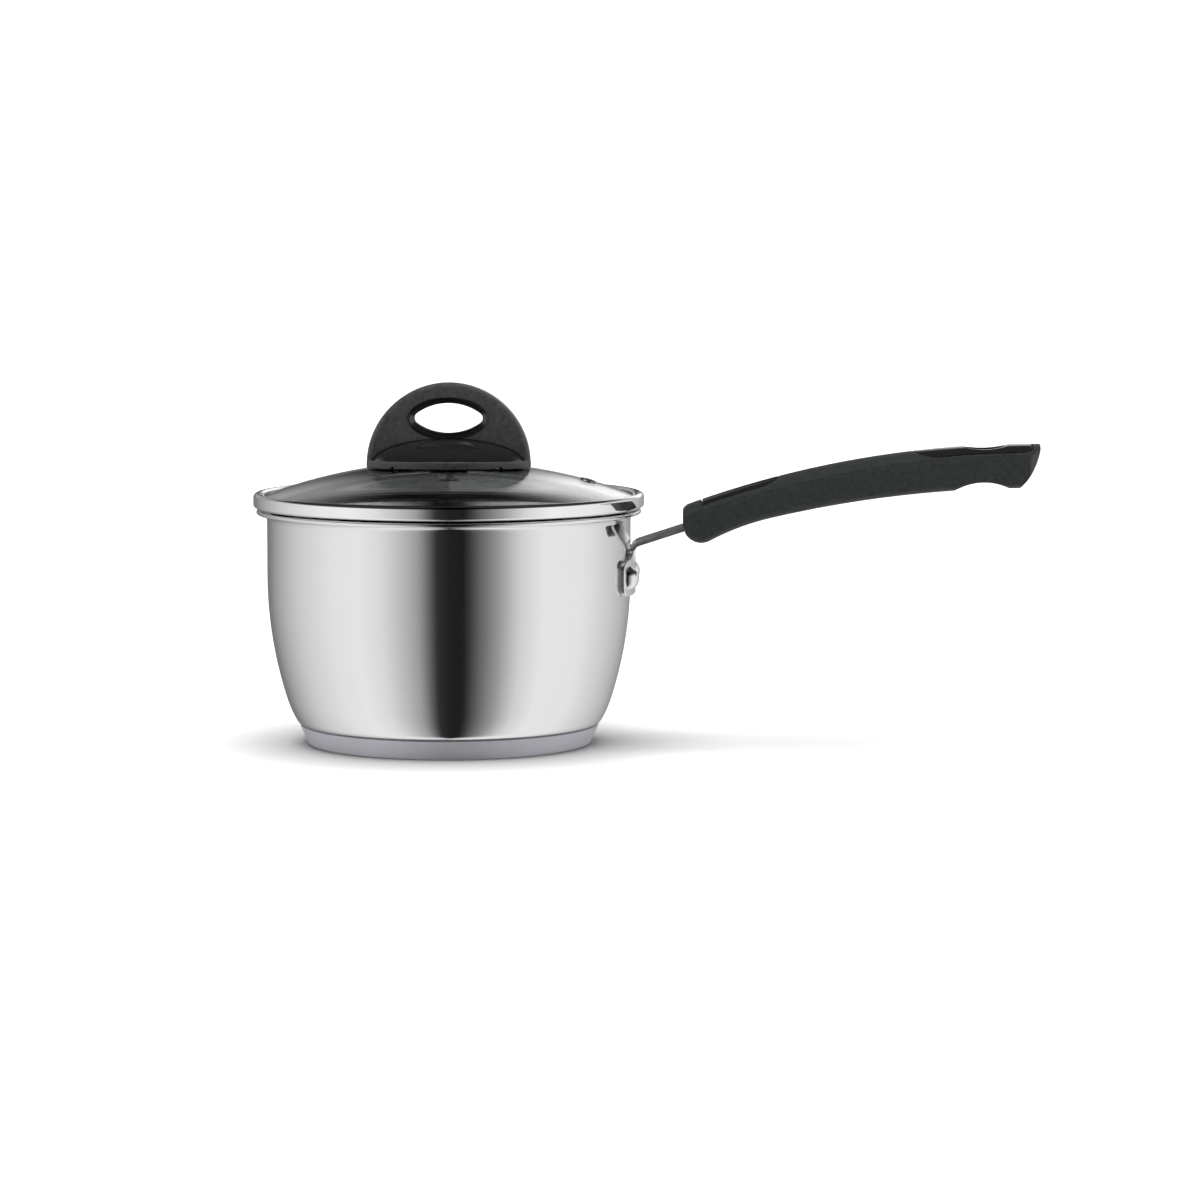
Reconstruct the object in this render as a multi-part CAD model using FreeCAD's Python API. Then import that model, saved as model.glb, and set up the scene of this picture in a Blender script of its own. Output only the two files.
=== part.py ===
import FreeCAD, Part
import math
import os

# Saucepan with a glass lid, in millimetres. The origin is the centre of the base's rest face, +Z is up
# and the long handle runs along +X. The pot stands on Z = 0 and the lid lifts straight off along +Z.

Vector = FreeCAD.Vector
UP = Vector(0, 0, 1)
ACROSS = Vector(0, 1, 0)
ORIGIN = Vector(0, 0, 0)

# Pot
POT_INNER_RADIUS = 80.0
POT_WALL = 0.8
POT_HEIGHT = 104.3              # rest face to the top of the rolled lip
STRAIGHT_DEPTH = 29.6           # lip down to where the straight wall starts to curve in
BELLY_RADIUS = 180.0
HEEL_START_HEIGHT = 20.0
HEEL_RADIUS = 48.0
CORNER_START_HEIGHT = 11.0
CORNER_RADIUS = 6.0
FLARE_RADIUS = 3.7
LIP_BEAD_RADIUS = 1.0

# Sandwich base
CAP_HEIGHT = 8.9
CAP_SHEET = 0.6
CAP_TAPER = 22.7                # degrees the cap's side leans in towards the table
CAP_EDGE_RADIUS = 1.4
SEAM_GROOVE = 0.35
CORE_CLEARANCE = 0.6

# Handle bracket and its rivets
BRACKET_SHEET = 2.2
PLATE_WIDTH = 55.0
PLATE_HEIGHT = 16.0
PLATE_CORNER = 5.0
STRAP_WIDTH = 22.0
WAIST_HEIGHT = 4.5              # how far the plate's top edge rises to meet the strap
WAIST_SHARE = 0.9               # share of the plate's shoulder that the rise takes up
STRAP_BEND_RADIUS = 3.6
STRAP_RISE = 18.0               # degrees above level
STRAP_ENTRY_RISE = 20.85        # rivet line up to where the strap enters the grip
BRACKET_REACH = 23.2            # pot wall out to the front of the grip
TANG_LENGTH = 46.0
RIVET_DROP = 29.3               # lip down to the rivet line
RIVET_SPACING = 40.0
RIVET_HEAD_RADIUS = 5.5
RIVET_HEAD_HEIGHT = 4.2
RIVET_SHANK_RADIUS = 2.5
RIVET_INNER_HEAD_RADIUS = 4.8
RIVET_INNER_HEAD_HEIGHT = 1.4
RIVET_HEAD_SINK = 0.3           # how far a head's dome is drawn into its sheet before it is trimmed
RIVET_BORE_REACH = 6.0          # how far the rivet's bore is drawn to each side of the wall

# Grip
GRIP_LENGTH = 158.2
GRIP_CHEEK = 2.0                # plastic on each side of the strap
GRIP_ABOVE_STRAP = 9.8
GRIP_BELOW_STRAP = 5.65
GRIP_TOP_ARC = 446.0
GRIP_BOTTOM_ARC = 508.0
GRIP_CREST_SETBACK = 3.4        # end of the grip back to the highest point of its top
CROWN_HEIGHT = 4.7
SHOULDER_GROOVE = 0.7
GRIP_BOTTOM_EDGE = 3.0
GRIP_CHIN_RADIUS = 8.1
GRIP_CHIN_DROP = 6.0            # strap's entry down to the lowest point of the chin
GRIP_THROAT_ARC = 111.0         # arc that eases the chin into the long bottom arc
GRIP_BROW_RADIUS = 2.5
GRIP_BROW_TURN = 110            # degrees where the brow meets the top
GRIP_END_RADIUS = 32.0
GRIP_END_LEAN = 9.5             # how much shorter the underside is than the top
GRIP_END_CHAMFER = 5.0
TANG_CLEARANCE = 0.15
GRIP_DEPTH_BELOW = 60.0         # sections are drawn this much deeper than the grip, then trimmed
SWEEP_BACK = 40                 # degrees a long arc is swept towards the pot, then trimmed
SWEEP_ON = 12                   # degrees it is swept past the crest, then trimmed
TRIM_MARGIN = 10.0              # how far cutting bodies are drawn past what they cut

# Hanging end
HANG_SETBACK = 25.4             # end of the grip back to the middle of the hanging hole
HANG_HOLE_LENGTH = 19.0
HANG_HOLE_WIDTH = 11.0
SCOOP_TOP_DEPTH = 1.6
SCOOP_TOP_LENGTH = 22.0
SCOOP_BOTTOM_DEPTH = 3.0
SCOOP_BOTTOM_LENGTH = 23.6
INSERT_SETBACK = 4.2            # end of the grip back to the end of the inlay
INSERT_LENGTH = 52.0
INSERT_WIDTH = 21.4
INSERT_POINT_LENGTH = 8.0
INSERT_BOW_SETBACK = 0.3        # the point's bowed side passes this share of its length back ...
INSERT_BOW_WIDTH = 0.62         # ... at this share of the inlay's half width
INSERT_CORNER = 4.0
INSERT_THICKNESS = 1.4
INSERT_GROOVE = 0.3
INSERT_SLEEVE_WALL = 1.2

# Thumb inlay
THUMB_SETBACK = 8.6             # front of the grip to the front of the inlay
THUMB_LENGTH = 34.0
THUMB_WIDTH = 17.0

# Grip screw, driven from below into the tang
SCREW_SETBACK = 24.0            # front of the grip to the screw
SCREW_RADIUS = 2.0
SCREW_HEAD_RADIUS = 3.8
SCREW_HEAD_HEIGHT = 2.2
SCREW_HEAD_RECESS = 1.0
SCREW_CLEARANCE = 0.2
SCREW_PAST_TANG = 3.0           # how far the screw runs past the middle of the tang
SCREW_BORE_BACK = 4.0
SCREW_BORE_LENGTH = 60.0
SCREW_SLOT_WIDTH = 1.0
SCREW_SLOT_REACH = 2.2          # middle of the head to the end of each arm of its cross recess

# Lid
GLASS_THICKNESS = 4.0
GLASS_DOME_RADIUS = 236.0
GLASS_RIM_RISE = 5.773          # lip up to the glass where the band folds onto it
BAND_OVERHANG = 1.3             # lip's outer edge out to the band's face
BAND_HEIGHT = 7.3
BAND_SHEET = 0.6
BAND_LIFT = 0.8                 # lip up to the band's lower edge
BAND_CURL = 4.2                 # how far the band folds in over the glass
BAND_REST_GAP = 0.3
BAND_EDGE_RADIUS = 1.9          # rounding at the band's highest line
BAND_FOOT_RADIUS = 1.3          # rounding where its face turns in over the lip
SKIRT_TURN = 1.2                # radius where the shelf folds down into the pot
SKIRT_LEAN = 0.4
SKIRT_CLEARANCE = 1.0
SKIRT_DEPTH = 5.5
GLASS_EDGE_GAP = 2.4            # band's face in to the edge of the glass
GLASS_BED = 0.5                 # bead under the edge of the glass
BED_WIDTH = 1.6                 # how far the bead reaches in under the glass
BED_SETBACK = 0.6               # band's inside face in to the bead
BED_DROP = 0.9                  # underside of the band's top down to the bead
BED_START = 1.0                 # skirt's fold out to the bead
VENT_DISTANCE = 62.0
VENT_BEARING = 0.0              # degrees round from the handle
VENT_HOLE_RADIUS = 1.75
VENT_TUBE_WALL = 1.0
VENT_FLANGE_RADIUS = 4.1
VENT_FLANGE_HEIGHT = 0.8
VENT_FLANGE_LIP = 0.4           # how much smaller the lower flange is than the upper one
VENT_SEAT_GAP = 0.06
VENT_BEVEL = 0.7
VENT_MOUTH = 0.5

# Knob
KNOB_WIDTH = 73.0
KNOB_DEPTH = 61.4
KNOB_CENTRE_DROP = 1.0          # glass apex down to the centre of the knob's round outline
KNOB_GAP = 0.4
KNOB_RIM_HEIGHT = 3.2
KNOB_RIM_REACH = 8.0            # the rim is drawn so far above and below the glass's top, then trimmed
KNOB_RIM_WALL = 1.3
KNOB_BASE_HEIGHT = 12.0
FIN_FOOT_THICKNESS = 15.0
FIN_TOP_THICKNESS = 11.5
FIN_INSET = 0.2                 # how far the fin stays inside the oval rim at its two ends
FIN_FOOT_SINK = 3.0             # the fin is drawn this far below the glass at its ends, then trimmed
FIN_EDGE_RADIUS = 2.2
FINGER_HOLE_LENGTH = 30.3
FINGER_HOLE_HEIGHT = 13.3
FINGER_HOLE_END_RADIUS = 2.6
FINGER_HOLE_RISE = 20.6         # knob outline's centre up to the middle of the finger hole
FINGER_FLARE = 2.6
FINGER_THROAT = 0.3             # share of the fin's half thickness that stays straight in the hole
NOTCH_WIDTH = 3.0
NOTCH_HEIGHT = 0.9
NOTCH_BEARINGS = (45.0, 135.0, 225.0, 315.0)

# Knob fixing
KNOB_SCREW_RADIUS = 2.5
KNOB_SCREW_HEAD_RADIUS = 4.6
KNOB_SCREW_HEAD_HEIGHT = 2.6
KNOB_SLOT_WIDTH = 1.2
KNOB_SLOT_DEPTH = 1.2
KNOB_SCREW_SHORTFALL = 0.5      # how far the screw's tip stays below the top of the insert
GLASS_HOLE_RADIUS = 4.6
SEAL_UPPER_RADIUS = 10.0
SEAL_UPPER_THICKNESS = 1.5
SEAL_LOWER_RADIUS = 8.5
SEAL_LOWER_THICKNESS = 1.4
SEAL_SLEEVE_GAP = 0.15
WASHER_RADIUS = 7.5
WASHER_THICKNESS = 1.0
BRASS_WALL = 1.6
BRASS_LENGTH = 6.0

# Sizes that follow from the ones above
POT_OUTER_RADIUS = POT_INNER_RADIUS + POT_WALL
LIP_CENTRE_RADIUS = POT_OUTER_RADIUS + FLARE_RADIUS
LIP_OUTER_RADIUS = LIP_CENTRE_RADIUS + LIP_BEAD_RADIUS
NECK_HEIGHT = POT_HEIGHT - LIP_BEAD_RADIUS - POT_WALL / 2 - FLARE_RADIUS
STRAIGHT_FOOT = POT_HEIGHT - STRAIGHT_DEPTH
RIVET_HEIGHT = POT_HEIGHT - RIVET_DROP
PLATE_FACE_RADIUS = POT_OUTER_RADIUS + BRACKET_SHEET
GRIP_WIDTH = STRAP_WIDTH + 2 * GRIP_CHEEK
GRIP_FRONT = POT_OUTER_RADIUS + BRACKET_REACH
GRIP_END = GRIP_FRONT + GRIP_LENGTH
STRAP_ENTRY_HEIGHT = RIVET_HEIGHT + STRAP_ENTRY_RISE
HANG_CENTRE = GRIP_END - HANG_SETBACK
GLASS_UNDER_RADIUS = GLASS_DOME_RADIUS - GLASS_THICKNESS
BAND_RADIUS = LIP_OUTER_RADIUS + BAND_OVERHANG
BAND_CURL_RADIUS = BAND_RADIUS - BAND_CURL
GLASS_RIM_DROP = GLASS_DOME_RADIUS - math.sqrt(GLASS_DOME_RADIUS ** 2 - BAND_CURL_RADIUS ** 2)
GLASS_APEX = POT_HEIGHT + GLASS_RIM_RISE + GLASS_RIM_DROP
GLASS_CENTRE_HEIGHT = GLASS_APEX - GLASS_DOME_RADIUS
BAND_FOOT = POT_HEIGHT + BAND_LIFT
BAND_TOP = BAND_FOOT + BAND_HEIGHT
GLASS_RADIUS = BAND_RADIUS - GLASS_EDGE_GAP
BAND_SHELF = POT_HEIGHT + BAND_REST_GAP
GLASS_SEAT = BAND_SHELF + BAND_SHEET + GLASS_BED
KNOB_CENTRE_HEIGHT = GLASS_APEX - KNOB_CENTRE_DROP


# ---------------------------------------------------------------- drawing helpers

def flat(across, height):
    """A point in the plane Y = 0."""
    return Vector(across, 0, height)


def polar(centre, radius, degrees):
    """A point in the plane Y = 0 at an angle above +X from a centre."""
    angle = math.radians(degrees)
    return flat(centre.x + radius * math.cos(angle), centre.z + radius * math.sin(angle))


def line(start, end):
    return Part.LineSegment(start, end).toShape()


def arc(centre, radius, start, end):
    """An arc in the plane Y = 0 between two angles in degrees."""
    middle = polar(centre, radius, (start + end) / 2)
    return Part.Arc(polar(centre, radius, start), middle, polar(centre, radius, end)).toShape()


def face_of(edges):
    return Part.Face(Part.Wire(Part.__sortEdges__(edges)))


def polygon(points):
    """A closed face through points of the plane Y = 0."""
    return Part.Face(Part.makePolygon(points + [points[0]]))


def spun(face):
    return face.revolve(ORIGIN, UP, 360)


def sheet(edges, thickness):
    """A sheet section of the given thickness, to one side of a path. A negative value takes the other."""
    path = Part.Wire(Part.__sortEdges__(edges))
    return path.makeOffset2D(thickness, 2, True, True)


def ring(inner, outer, foot, top):
    """A plain ring round Z."""
    return spun(polygon([flat(inner, foot), flat(outer, foot), flat(outer, top), flat(inner, top)]))


def rod(radius, foot, top, x=0.0, y=0.0):
    return Part.makeCylinder(radius, top - foot, Vector(x, y, foot))


def sphere(radius, height):
    return Part.makeSphere(radius, Vector(0, 0, height))


def ellipse_prism(width, depth, foot, top):
    outline = Part.Ellipse(Vector(0, 0, foot), width / 2, depth / 2).toShape()
    return Part.Face(Part.Wire(outline)).extrude(Vector(0, 0, top - foot))


def slot_prism(length, width, x, foot, top):
    """A round-ended slot lying along X, cut along Z."""
    reach = (length - width) / 2
    body = Part.makeBox(2 * reach, width, top - foot, Vector(x - reach, -width / 2, foot))
    ends = [rod(width / 2, foot, top, x - reach), rod(width / 2, foot, top, x + reach)]
    return body.multiFuse(ends).removeSplitter()


def save(shape, name):
    shape.exportStep("parts/" + name + ".step")


# ---------------------------------------------------------------- pot

def pot_corner():
    """Centre of the tight corner between wall and floor, with the angle where it starts."""
    belly = flat(POT_OUTER_RADIUS - BELLY_RADIUS, STRAIGHT_FOOT)
    belly_end = -math.degrees(math.asin((STRAIGHT_FOOT - HEEL_START_HEIGHT) / BELLY_RADIUS))
    heel = polar(polar(belly, BELLY_RADIUS, belly_end), HEEL_RADIUS, belly_end + 180)
    heel_end = -math.degrees(math.asin((heel.z - CORNER_START_HEIGHT) / HEEL_RADIUS))
    corner = polar(polar(heel, HEEL_RADIUS, heel_end), CORNER_RADIUS, heel_end + 180)
    return belly, belly_end, heel, heel_end, corner


def pot_outer_path():
    """The outside of the pot from the middle of its floor up to the end of its flare."""
    belly, belly_end, heel, heel_end, corner = pot_corner()
    floor = corner.z - CORNER_RADIUS
    neck = flat(LIP_CENTRE_RADIUS, NECK_HEIGHT)
    return [
        line(flat(0, floor), flat(corner.x, floor)),
        arc(corner, CORNER_RADIUS, -90, heel_end),
        arc(heel, HEEL_RADIUS, heel_end, belly_end),
        arc(belly, BELLY_RADIUS, belly_end, 0),
        line(flat(POT_OUTER_RADIUS, STRAIGHT_FOOT), flat(POT_OUTER_RADIUS, NECK_HEIGHT)),
        arc(neck, FLARE_RADIUS, 180, 90),
    ]


def pot_envelope():
    """Everything inside the pot's outer surface, as one solid."""
    top = NECK_HEIGHT + FLARE_RADIUS
    floor = pot_corner()[4].z - CORNER_RADIUS
    closing = [line(flat(LIP_CENTRE_RADIUS, top), flat(0, top)), line(flat(0, top), flat(0, floor))]
    return spun(face_of(pot_outer_path() + closing))


def rivet_holes():
    return [rivet_axis_rod(side, RIVET_SHANK_RADIUS, -RIVET_BORE_REACH, RIVET_BORE_REACH)
            for side in (-1, 1)]


def make_pot_shell():
    wall = spun(sheet(pot_outer_path(), POT_WALL))
    bead = Part.makeTorus(LIP_CENTRE_RADIUS, LIP_BEAD_RADIUS, Vector(0, 0, POT_HEIGHT - LIP_BEAD_RADIUS))
    return wall.fuse(bead).removeSplitter().cut(Part.makeCompound(rivet_holes()))


def cap_top_radius():
    corner = pot_corner()[4]
    drop = corner.z - (CAP_HEIGHT + SEAM_GROOVE)
    return corner.x + math.sqrt(CORNER_RADIUS ** 2 - drop ** 2)


def cap_bottom_radius():
    return cap_top_radius() - CAP_HEIGHT * math.tan(math.radians(CAP_TAPER))


def make_base_cap():
    """The pressed dish that closes the underside of the sandwich base."""
    foot = cap_bottom_radius()
    edge_turn = 90 - CAP_TAPER
    setback = CAP_EDGE_RADIUS * math.tan(math.radians(edge_turn / 2))
    edge = flat(foot - setback, CAP_EDGE_RADIUS)
    side_start = polar(edge, CAP_EDGE_RADIUS, -CAP_TAPER)
    path = [
        line(ORIGIN, flat(edge.x, 0)),
        arc(edge, CAP_EDGE_RADIUS, -90, -CAP_TAPER),
        line(side_start, flat(cap_top_radius(), CAP_HEIGHT)),
    ]
    return spun(sheet(path, CAP_SHEET)).cut(pot_envelope())


def make_base_core():
    """The aluminium disc sealed between floor and cap."""
    floor = pot_corner()[4].z - CORNER_RADIUS
    return rod(cap_bottom_radius() - CAP_SHEET - CORE_CLEARANCE, CAP_SHEET, floor)


# ---------------------------------------------------------------- handle bracket and rivets

def rivet_angle(side):
    return side * math.degrees(math.asin(RIVET_SPACING / 2 / PLATE_FACE_RADIUS))


def placed_on_wall(shape, side):
    """Moves a shape drawn along +X from the origin to a rivet's place on the wall."""
    shape.translate(Vector(POT_OUTER_RADIUS, 0, RIVET_HEIGHT))
    shape.rotate(ORIGIN, UP, rivet_angle(side))
    return shape


def rivet_axis_rod(side, radius, start, end):
    return placed_on_wall(Part.makeCylinder(radius, end - start, Vector(start, 0, 0), Vector(1, 0, 0)), side)


def domed_head(radius, height, base, outward):
    """A domed head on an axis along X, standing on the plane X = base."""
    dome_radius = (radius ** 2 + height ** 2) / (2 * height)
    ball = Part.makeSphere(dome_radius, Vector(base + outward * (height - dome_radius), 0, 0))
    start = base if outward > 0 else base - height
    return ball.common(Part.makeCylinder(radius, height, Vector(start, 0, 0), Vector(1, 0, 0)))


def make_rivet(side):
    """A rivet through plate and wall, with a round head outside and a low one inside."""
    sink = RIVET_HEAD_SINK
    outer = domed_head(RIVET_HEAD_RADIUS, RIVET_HEAD_HEIGHT + sink, BRACKET_SHEET - sink, 1)
    inner = domed_head(RIVET_INNER_HEAD_RADIUS, RIVET_INNER_HEAD_HEIGHT + sink, sink - POT_WALL, -1)
    shank_start = -POT_WALL - RIVET_INNER_HEAD_HEIGHT / 2
    shank_end = BRACKET_SHEET + RIVET_HEAD_HEIGHT / 2
    heads = placed_on_wall(outer.fuse(inner), side)
    sandwich = ring(POT_INNER_RADIUS, PLATE_FACE_RADIUS, STRAIGHT_FOOT - PLATE_HEIGHT, NECK_HEIGHT)
    shank = rivet_axis_rod(side, RIVET_SHANK_RADIUS, shank_start, shank_end)
    return heads.cut(sandwich).fuse(shank).removeSplitter()


def plate_outline():
    """The plate seen along X: a rounded rectangle that narrows through a waist into the strap."""
    half = PLATE_WIDTH / 2
    neck = STRAP_WIDTH / 2
    foot = RIVET_HEIGHT - PLATE_HEIGHT / 2
    top = RIVET_HEIGHT + PLATE_HEIGHT / 2
    depth = 2 * POT_OUTER_RADIUS

    def block(left, right, low, high):
        return Part.makeBox(depth, right - left, high - low, Vector(0, left, low))

    def bar(y, z, radius):
        return Part.makeCylinder(radius, depth, Vector(0, y, z), Vector(1, 0, 0))

    corner_y = half - PLATE_CORNER
    spread = (corner_y - neck) * WAIST_SHARE
    blocks = [block(-half, half, foot + PLATE_CORNER, top - PLATE_CORNER)]
    blocks += [bar(side * corner_y, z, PLATE_CORNER)
               for side in (-1, 1) for z in (foot + PLATE_CORNER, top - PLATE_CORNER)]
    blocks.append(block(-neck - spread, neck + spread, top - PLATE_CORNER, top + WAIST_HEIGHT))
    body = block(-corner_y, corner_y, foot, top).multiFuse(blocks)
    waists = []
    for side in (-1, 1):
        middle = Vector(0, side * (neck + spread), top + WAIST_HEIGHT)
        curve = Part.Ellipse(middle + ACROSS * spread, middle + UP * WAIST_HEIGHT, middle)
        waists.append(face_of([curve.toShape()]).extrude(Vector(depth, 0, 0)))
    return body.cut(Part.makeCompound(waists)).removeSplitter()


def strap_path():
    """The middle of the strap's thickness, from the plate up, over the bend and along the tang."""
    slope = math.radians(STRAP_RISE)
    upright = POT_OUTER_RADIUS + BRACKET_SHEET / 2
    entry = flat(GRIP_FRONT, STRAP_ENTRY_HEIGHT)
    meet = flat(upright, entry.z - (entry.x - upright) * math.tan(slope))
    turn = STRAP_BEND_RADIUS * math.tan((math.pi / 2 - slope) / 2)
    centre = flat(upright + STRAP_BEND_RADIUS, meet.z - turn)
    tip = flat(entry.x + TANG_LENGTH * math.cos(slope), entry.z + TANG_LENGTH * math.sin(slope))
    foot = flat(upright - BRACKET_SHEET / 3, RIVET_HEIGHT + PLATE_HEIGHT / 4)
    return [
        line(foot, polar(centre, STRAP_BEND_RADIUS, 180)),
        arc(centre, STRAP_BEND_RADIUS, 180, 90 + STRAP_RISE),
        line(polar(centre, STRAP_BEND_RADIUS, 90 + STRAP_RISE), tip),
    ]


def strap_body(extra):
    """The strap as a bent flat bar, grown all round by a clearance."""
    middle = Part.Wire(Part.__sortEdges__(strap_path()))
    back = middle.makeOffset2D(-BRACKET_SHEET / 2 - extra, 2, False, True)
    width = STRAP_WIDTH + 2 * extra
    body = sheet(back.Edges, BRACKET_SHEET + 2 * extra).extrude(ACROSS * width)
    body.translate(ACROSS * (-width / 2))
    return body


def screw_hole(radius):
    """A bore square to the tang at the grip screw's place."""
    slope = math.radians(STRAP_RISE)
    along = SCREW_SETBACK
    place = flat(GRIP_FRONT + along * math.cos(slope), STRAP_ENTRY_HEIGHT + along * math.sin(slope))
    direction = flat(math.sin(slope), -math.cos(slope))
    start = place - direction * SCREW_BORE_BACK
    return place, direction, Part.makeCylinder(radius, SCREW_BORE_LENGTH, start, direction)


def make_handle_bracket():
    wall_band = ring(POT_OUTER_RADIUS, PLATE_FACE_RADIUS, RIVET_HEIGHT - PLATE_HEIGHT, POT_HEIGHT)
    plate = plate_outline().common(wall_band)
    strap = strap_body(0.0).cut(rod(POT_OUTER_RADIUS, 0, POT_HEIGHT))
    return plate.fuse(strap).cut(Part.makeCompound(rivet_holes() + [screw_hole(SCREW_RADIUS)[2]]))


# ---------------------------------------------------------------- grip

def crest_x():
    return GRIP_END - GRIP_CREST_SETBACK


def crown_centre():
    """Centre of the grip's long top arc."""
    span = crest_x() - GRIP_FRONT
    front_top = STRAP_ENTRY_HEIGHT + GRIP_ABOVE_STRAP
    return flat(crest_x(), front_top - math.sqrt(GRIP_TOP_ARC ** 2 - span ** 2))


def keel_centre():
    """Centre of the grip's long bottom arc."""
    span = crest_x() - GRIP_FRONT
    front_bottom = STRAP_ENTRY_HEIGHT - GRIP_BELOW_STRAP
    return flat(crest_x(), front_bottom - math.sqrt(GRIP_BOTTOM_ARC ** 2 - span ** 2))


def crown_top():
    return crown_centre().z + GRIP_TOP_ARC


def keel_bottom():
    return keel_centre().z + GRIP_BOTTOM_ARC


def swept_about(section, centre, back, forward):
    """Turns a section drawn at the crest about a long arc's axis, towards and past the pot."""
    section.rotate(centre, ACROSS, forward)
    return section.revolve(centre, ACROSS, -(back + forward))


def crown_section():
    """A shallow arc over a deep rectangle: the grip's crowned cross-section at the crest."""
    half = GRIP_WIDTH / 2
    shoulder = crown_top() - CROWN_HEIGHT
    left = Vector(crest_x(), -half, shoulder)
    right = Vector(crest_x(), half, shoulder)
    bow = Part.Arc(right, Vector(crest_x(), 0, crown_top()), left).toShape()
    floor = UP * -GRIP_DEPTH_BELOW
    sides = [line(left, left + floor), line(left + floor, right + floor), line(right + floor, right)]
    return face_of([bow] + sides)


def crown_body():
    return swept_about(crown_section(), crown_centre(), SWEEP_BACK, SWEEP_ON)


def chin_centre():
    """Centre of the rounded chin under the strap."""
    return flat(GRIP_FRONT + GRIP_CHIN_RADIUS, STRAP_ENTRY_HEIGHT - GRIP_CHIN_DROP + GRIP_CHIN_RADIUS)


def throat_centre():
    """Centre of the arc that touches both the chin and the long bottom arc."""
    chin = chin_centre()
    keel = keel_centre()
    reach = GRIP_THROAT_ARC + GRIP_CHIN_RADIUS
    spread = GRIP_BOTTOM_ARC - GRIP_THROAT_ARC
    between = chin.sub(keel)
    along = (between.Length ** 2 + spread ** 2 - reach ** 2) / (2 * between.Length)
    aside = math.sqrt(spread ** 2 - along ** 2)
    ahead = between * (1 / between.Length)
    return keel + ahead * along + flat(ahead.z, -ahead.x) * aside


def bearing_of(centre, point):
    """Angle of the line from a centre to a point, in degrees from straight up towards the pot."""
    return math.degrees(math.atan2(centre.x - point.x, point.z - centre.z))


def rounded_section(centre, foot, depth):
    """The grip's cross-section from its rounded foot up, in the plane through a centre."""
    half = GRIP_WIDTH / 2
    edge = GRIP_BOTTOM_EDGE
    lean = edge * (1 - math.sqrt(0.5))
    left = Vector(centre.x, -half, foot)
    right = Vector(centre.x, half, foot)

    def corner(point, side):
        middle = point + Vector(0, -side * lean, lean)
        return Part.Arc(point + UP * edge, middle, point - ACROSS * (side * edge)).toShape()

    top = UP * depth
    return face_of([
        corner(left, -1),
        line(left + ACROSS * edge, right - ACROSS * edge),
        corner(right, 1),
        line(right + UP * edge, right + top),
        line(right + top, left + top),
        line(left + top, left + UP * edge),
    ])


def arched(centre, radius, start, end):
    """The section swept over an arc with its centre below, between two angles towards the pot."""
    section = rounded_section(centre, centre.z + radius, GRIP_DEPTH_BELOW)
    section.rotate(centre, ACROSS, -start)
    return section.revolve(centre, ACROSS, start - end)


def keel_body():
    """Everything above the grip's underside: chin, throat and long bottom arc."""
    chin = chin_centre()
    throat = throat_centre()
    keel = keel_centre()
    chin_end = bearing_of(throat, chin)
    throat_end = bearing_of(keel, throat)
    chin_section = rounded_section(chin, chin.z - GRIP_CHIN_RADIUS, GRIP_CHIN_RADIUS)
    front_section = chin_section.copy()
    chin_section.rotate(chin, ACROSS, -chin_end)
    front_section.rotate(chin, ACROSS, 90)
    pieces = [
        arched(throat, GRIP_THROAT_ARC, throat_end, chin_end),
        chin_section.revolve(chin, ACROSS, 90 + chin_end),
        front_section.extrude(UP * GRIP_DEPTH_BELOW),
    ]
    return arched(keel, GRIP_BOTTOM_ARC, -SWEEP_ON, throat_end).multiFuse(pieces)


def side_block():
    """The grip's outline seen from the side, without its long arcs: front, brow and leaning end."""
    low = STRAP_ENTRY_HEIGHT - 2 * GRIP_CHIN_DROP
    high = crown_top() + TRIM_MARGIN
    end_top = flat(GRIP_END, crown_top())
    end_foot = flat(GRIP_END - GRIP_END_LEAN, keel_bottom())
    bulge = GRIP_END_RADIUS - math.sqrt(GRIP_END_RADIUS ** 2 - (end_top.sub(end_foot).Length / 2) ** 2)
    chord = end_foot.sub(end_top)
    normal = flat(-chord.z, chord.x) * (1 / chord.Length)
    middle = (end_top + end_foot) * 0.5 + normal * bulge
    end_arc = Part.Arc(end_top, middle, end_foot).toShape()
    brow = flat(GRIP_FRONT + GRIP_BROW_RADIUS, crown_height(GRIP_FRONT) - GRIP_BROW_RADIUS)
    brow_end = polar(brow, GRIP_BROW_RADIUS, GRIP_BROW_TURN)
    edges = [
        line(flat(GRIP_END, high), end_top),
        end_arc,
        line(end_foot, flat(end_foot.x, low)),
        line(flat(end_foot.x, low), flat(GRIP_FRONT, low)),
        line(flat(GRIP_FRONT, low), flat(GRIP_FRONT, brow.z)),
        arc(brow, GRIP_BROW_RADIUS, 180, GRIP_BROW_TURN),
        line(brow_end, flat(brow_end.x, high)),
        line(flat(brow_end.x, high), flat(GRIP_END, high)),
    ]
    block = face_of(edges).extrude(ACROSS * (2 * GRIP_WIDTH))
    block.translate(ACROSS * -GRIP_WIDTH)
    return block


def keel_height(x):
    return keel_centre().z + math.sqrt(GRIP_BOTTOM_ARC ** 2 - (crest_x() - x) ** 2)


def crown_height(x):
    return crown_centre().z + math.sqrt(GRIP_TOP_ARC ** 2 - (crest_x() - x) ** 2)


def plan_block():
    """The grip's outline seen from above, with its end corners cut off and eased."""
    half = GRIP_WIDTH / 2
    cut = GRIP_END_CHAMFER
    low = STRAP_ENTRY_HEIGHT - 2 * GRIP_CHIN_DROP
    points = [(GRIP_FRONT, -half), (GRIP_END - cut, -half), (GRIP_END, -half + cut),
              (GRIP_END, half - cut), (GRIP_END - cut, half), (GRIP_FRONT, half)]
    outline = polygon([Vector(x, y, low) for x, y in points])
    block = outline.extrude(Vector(0, 0, crown_top() + TRIM_MARGIN - low))
    uprights = [edge for edge in block.Edges if abs(edge.BoundBox.ZLength) > 1]
    return block.makeFillet(cut / 3, uprights)


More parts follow.
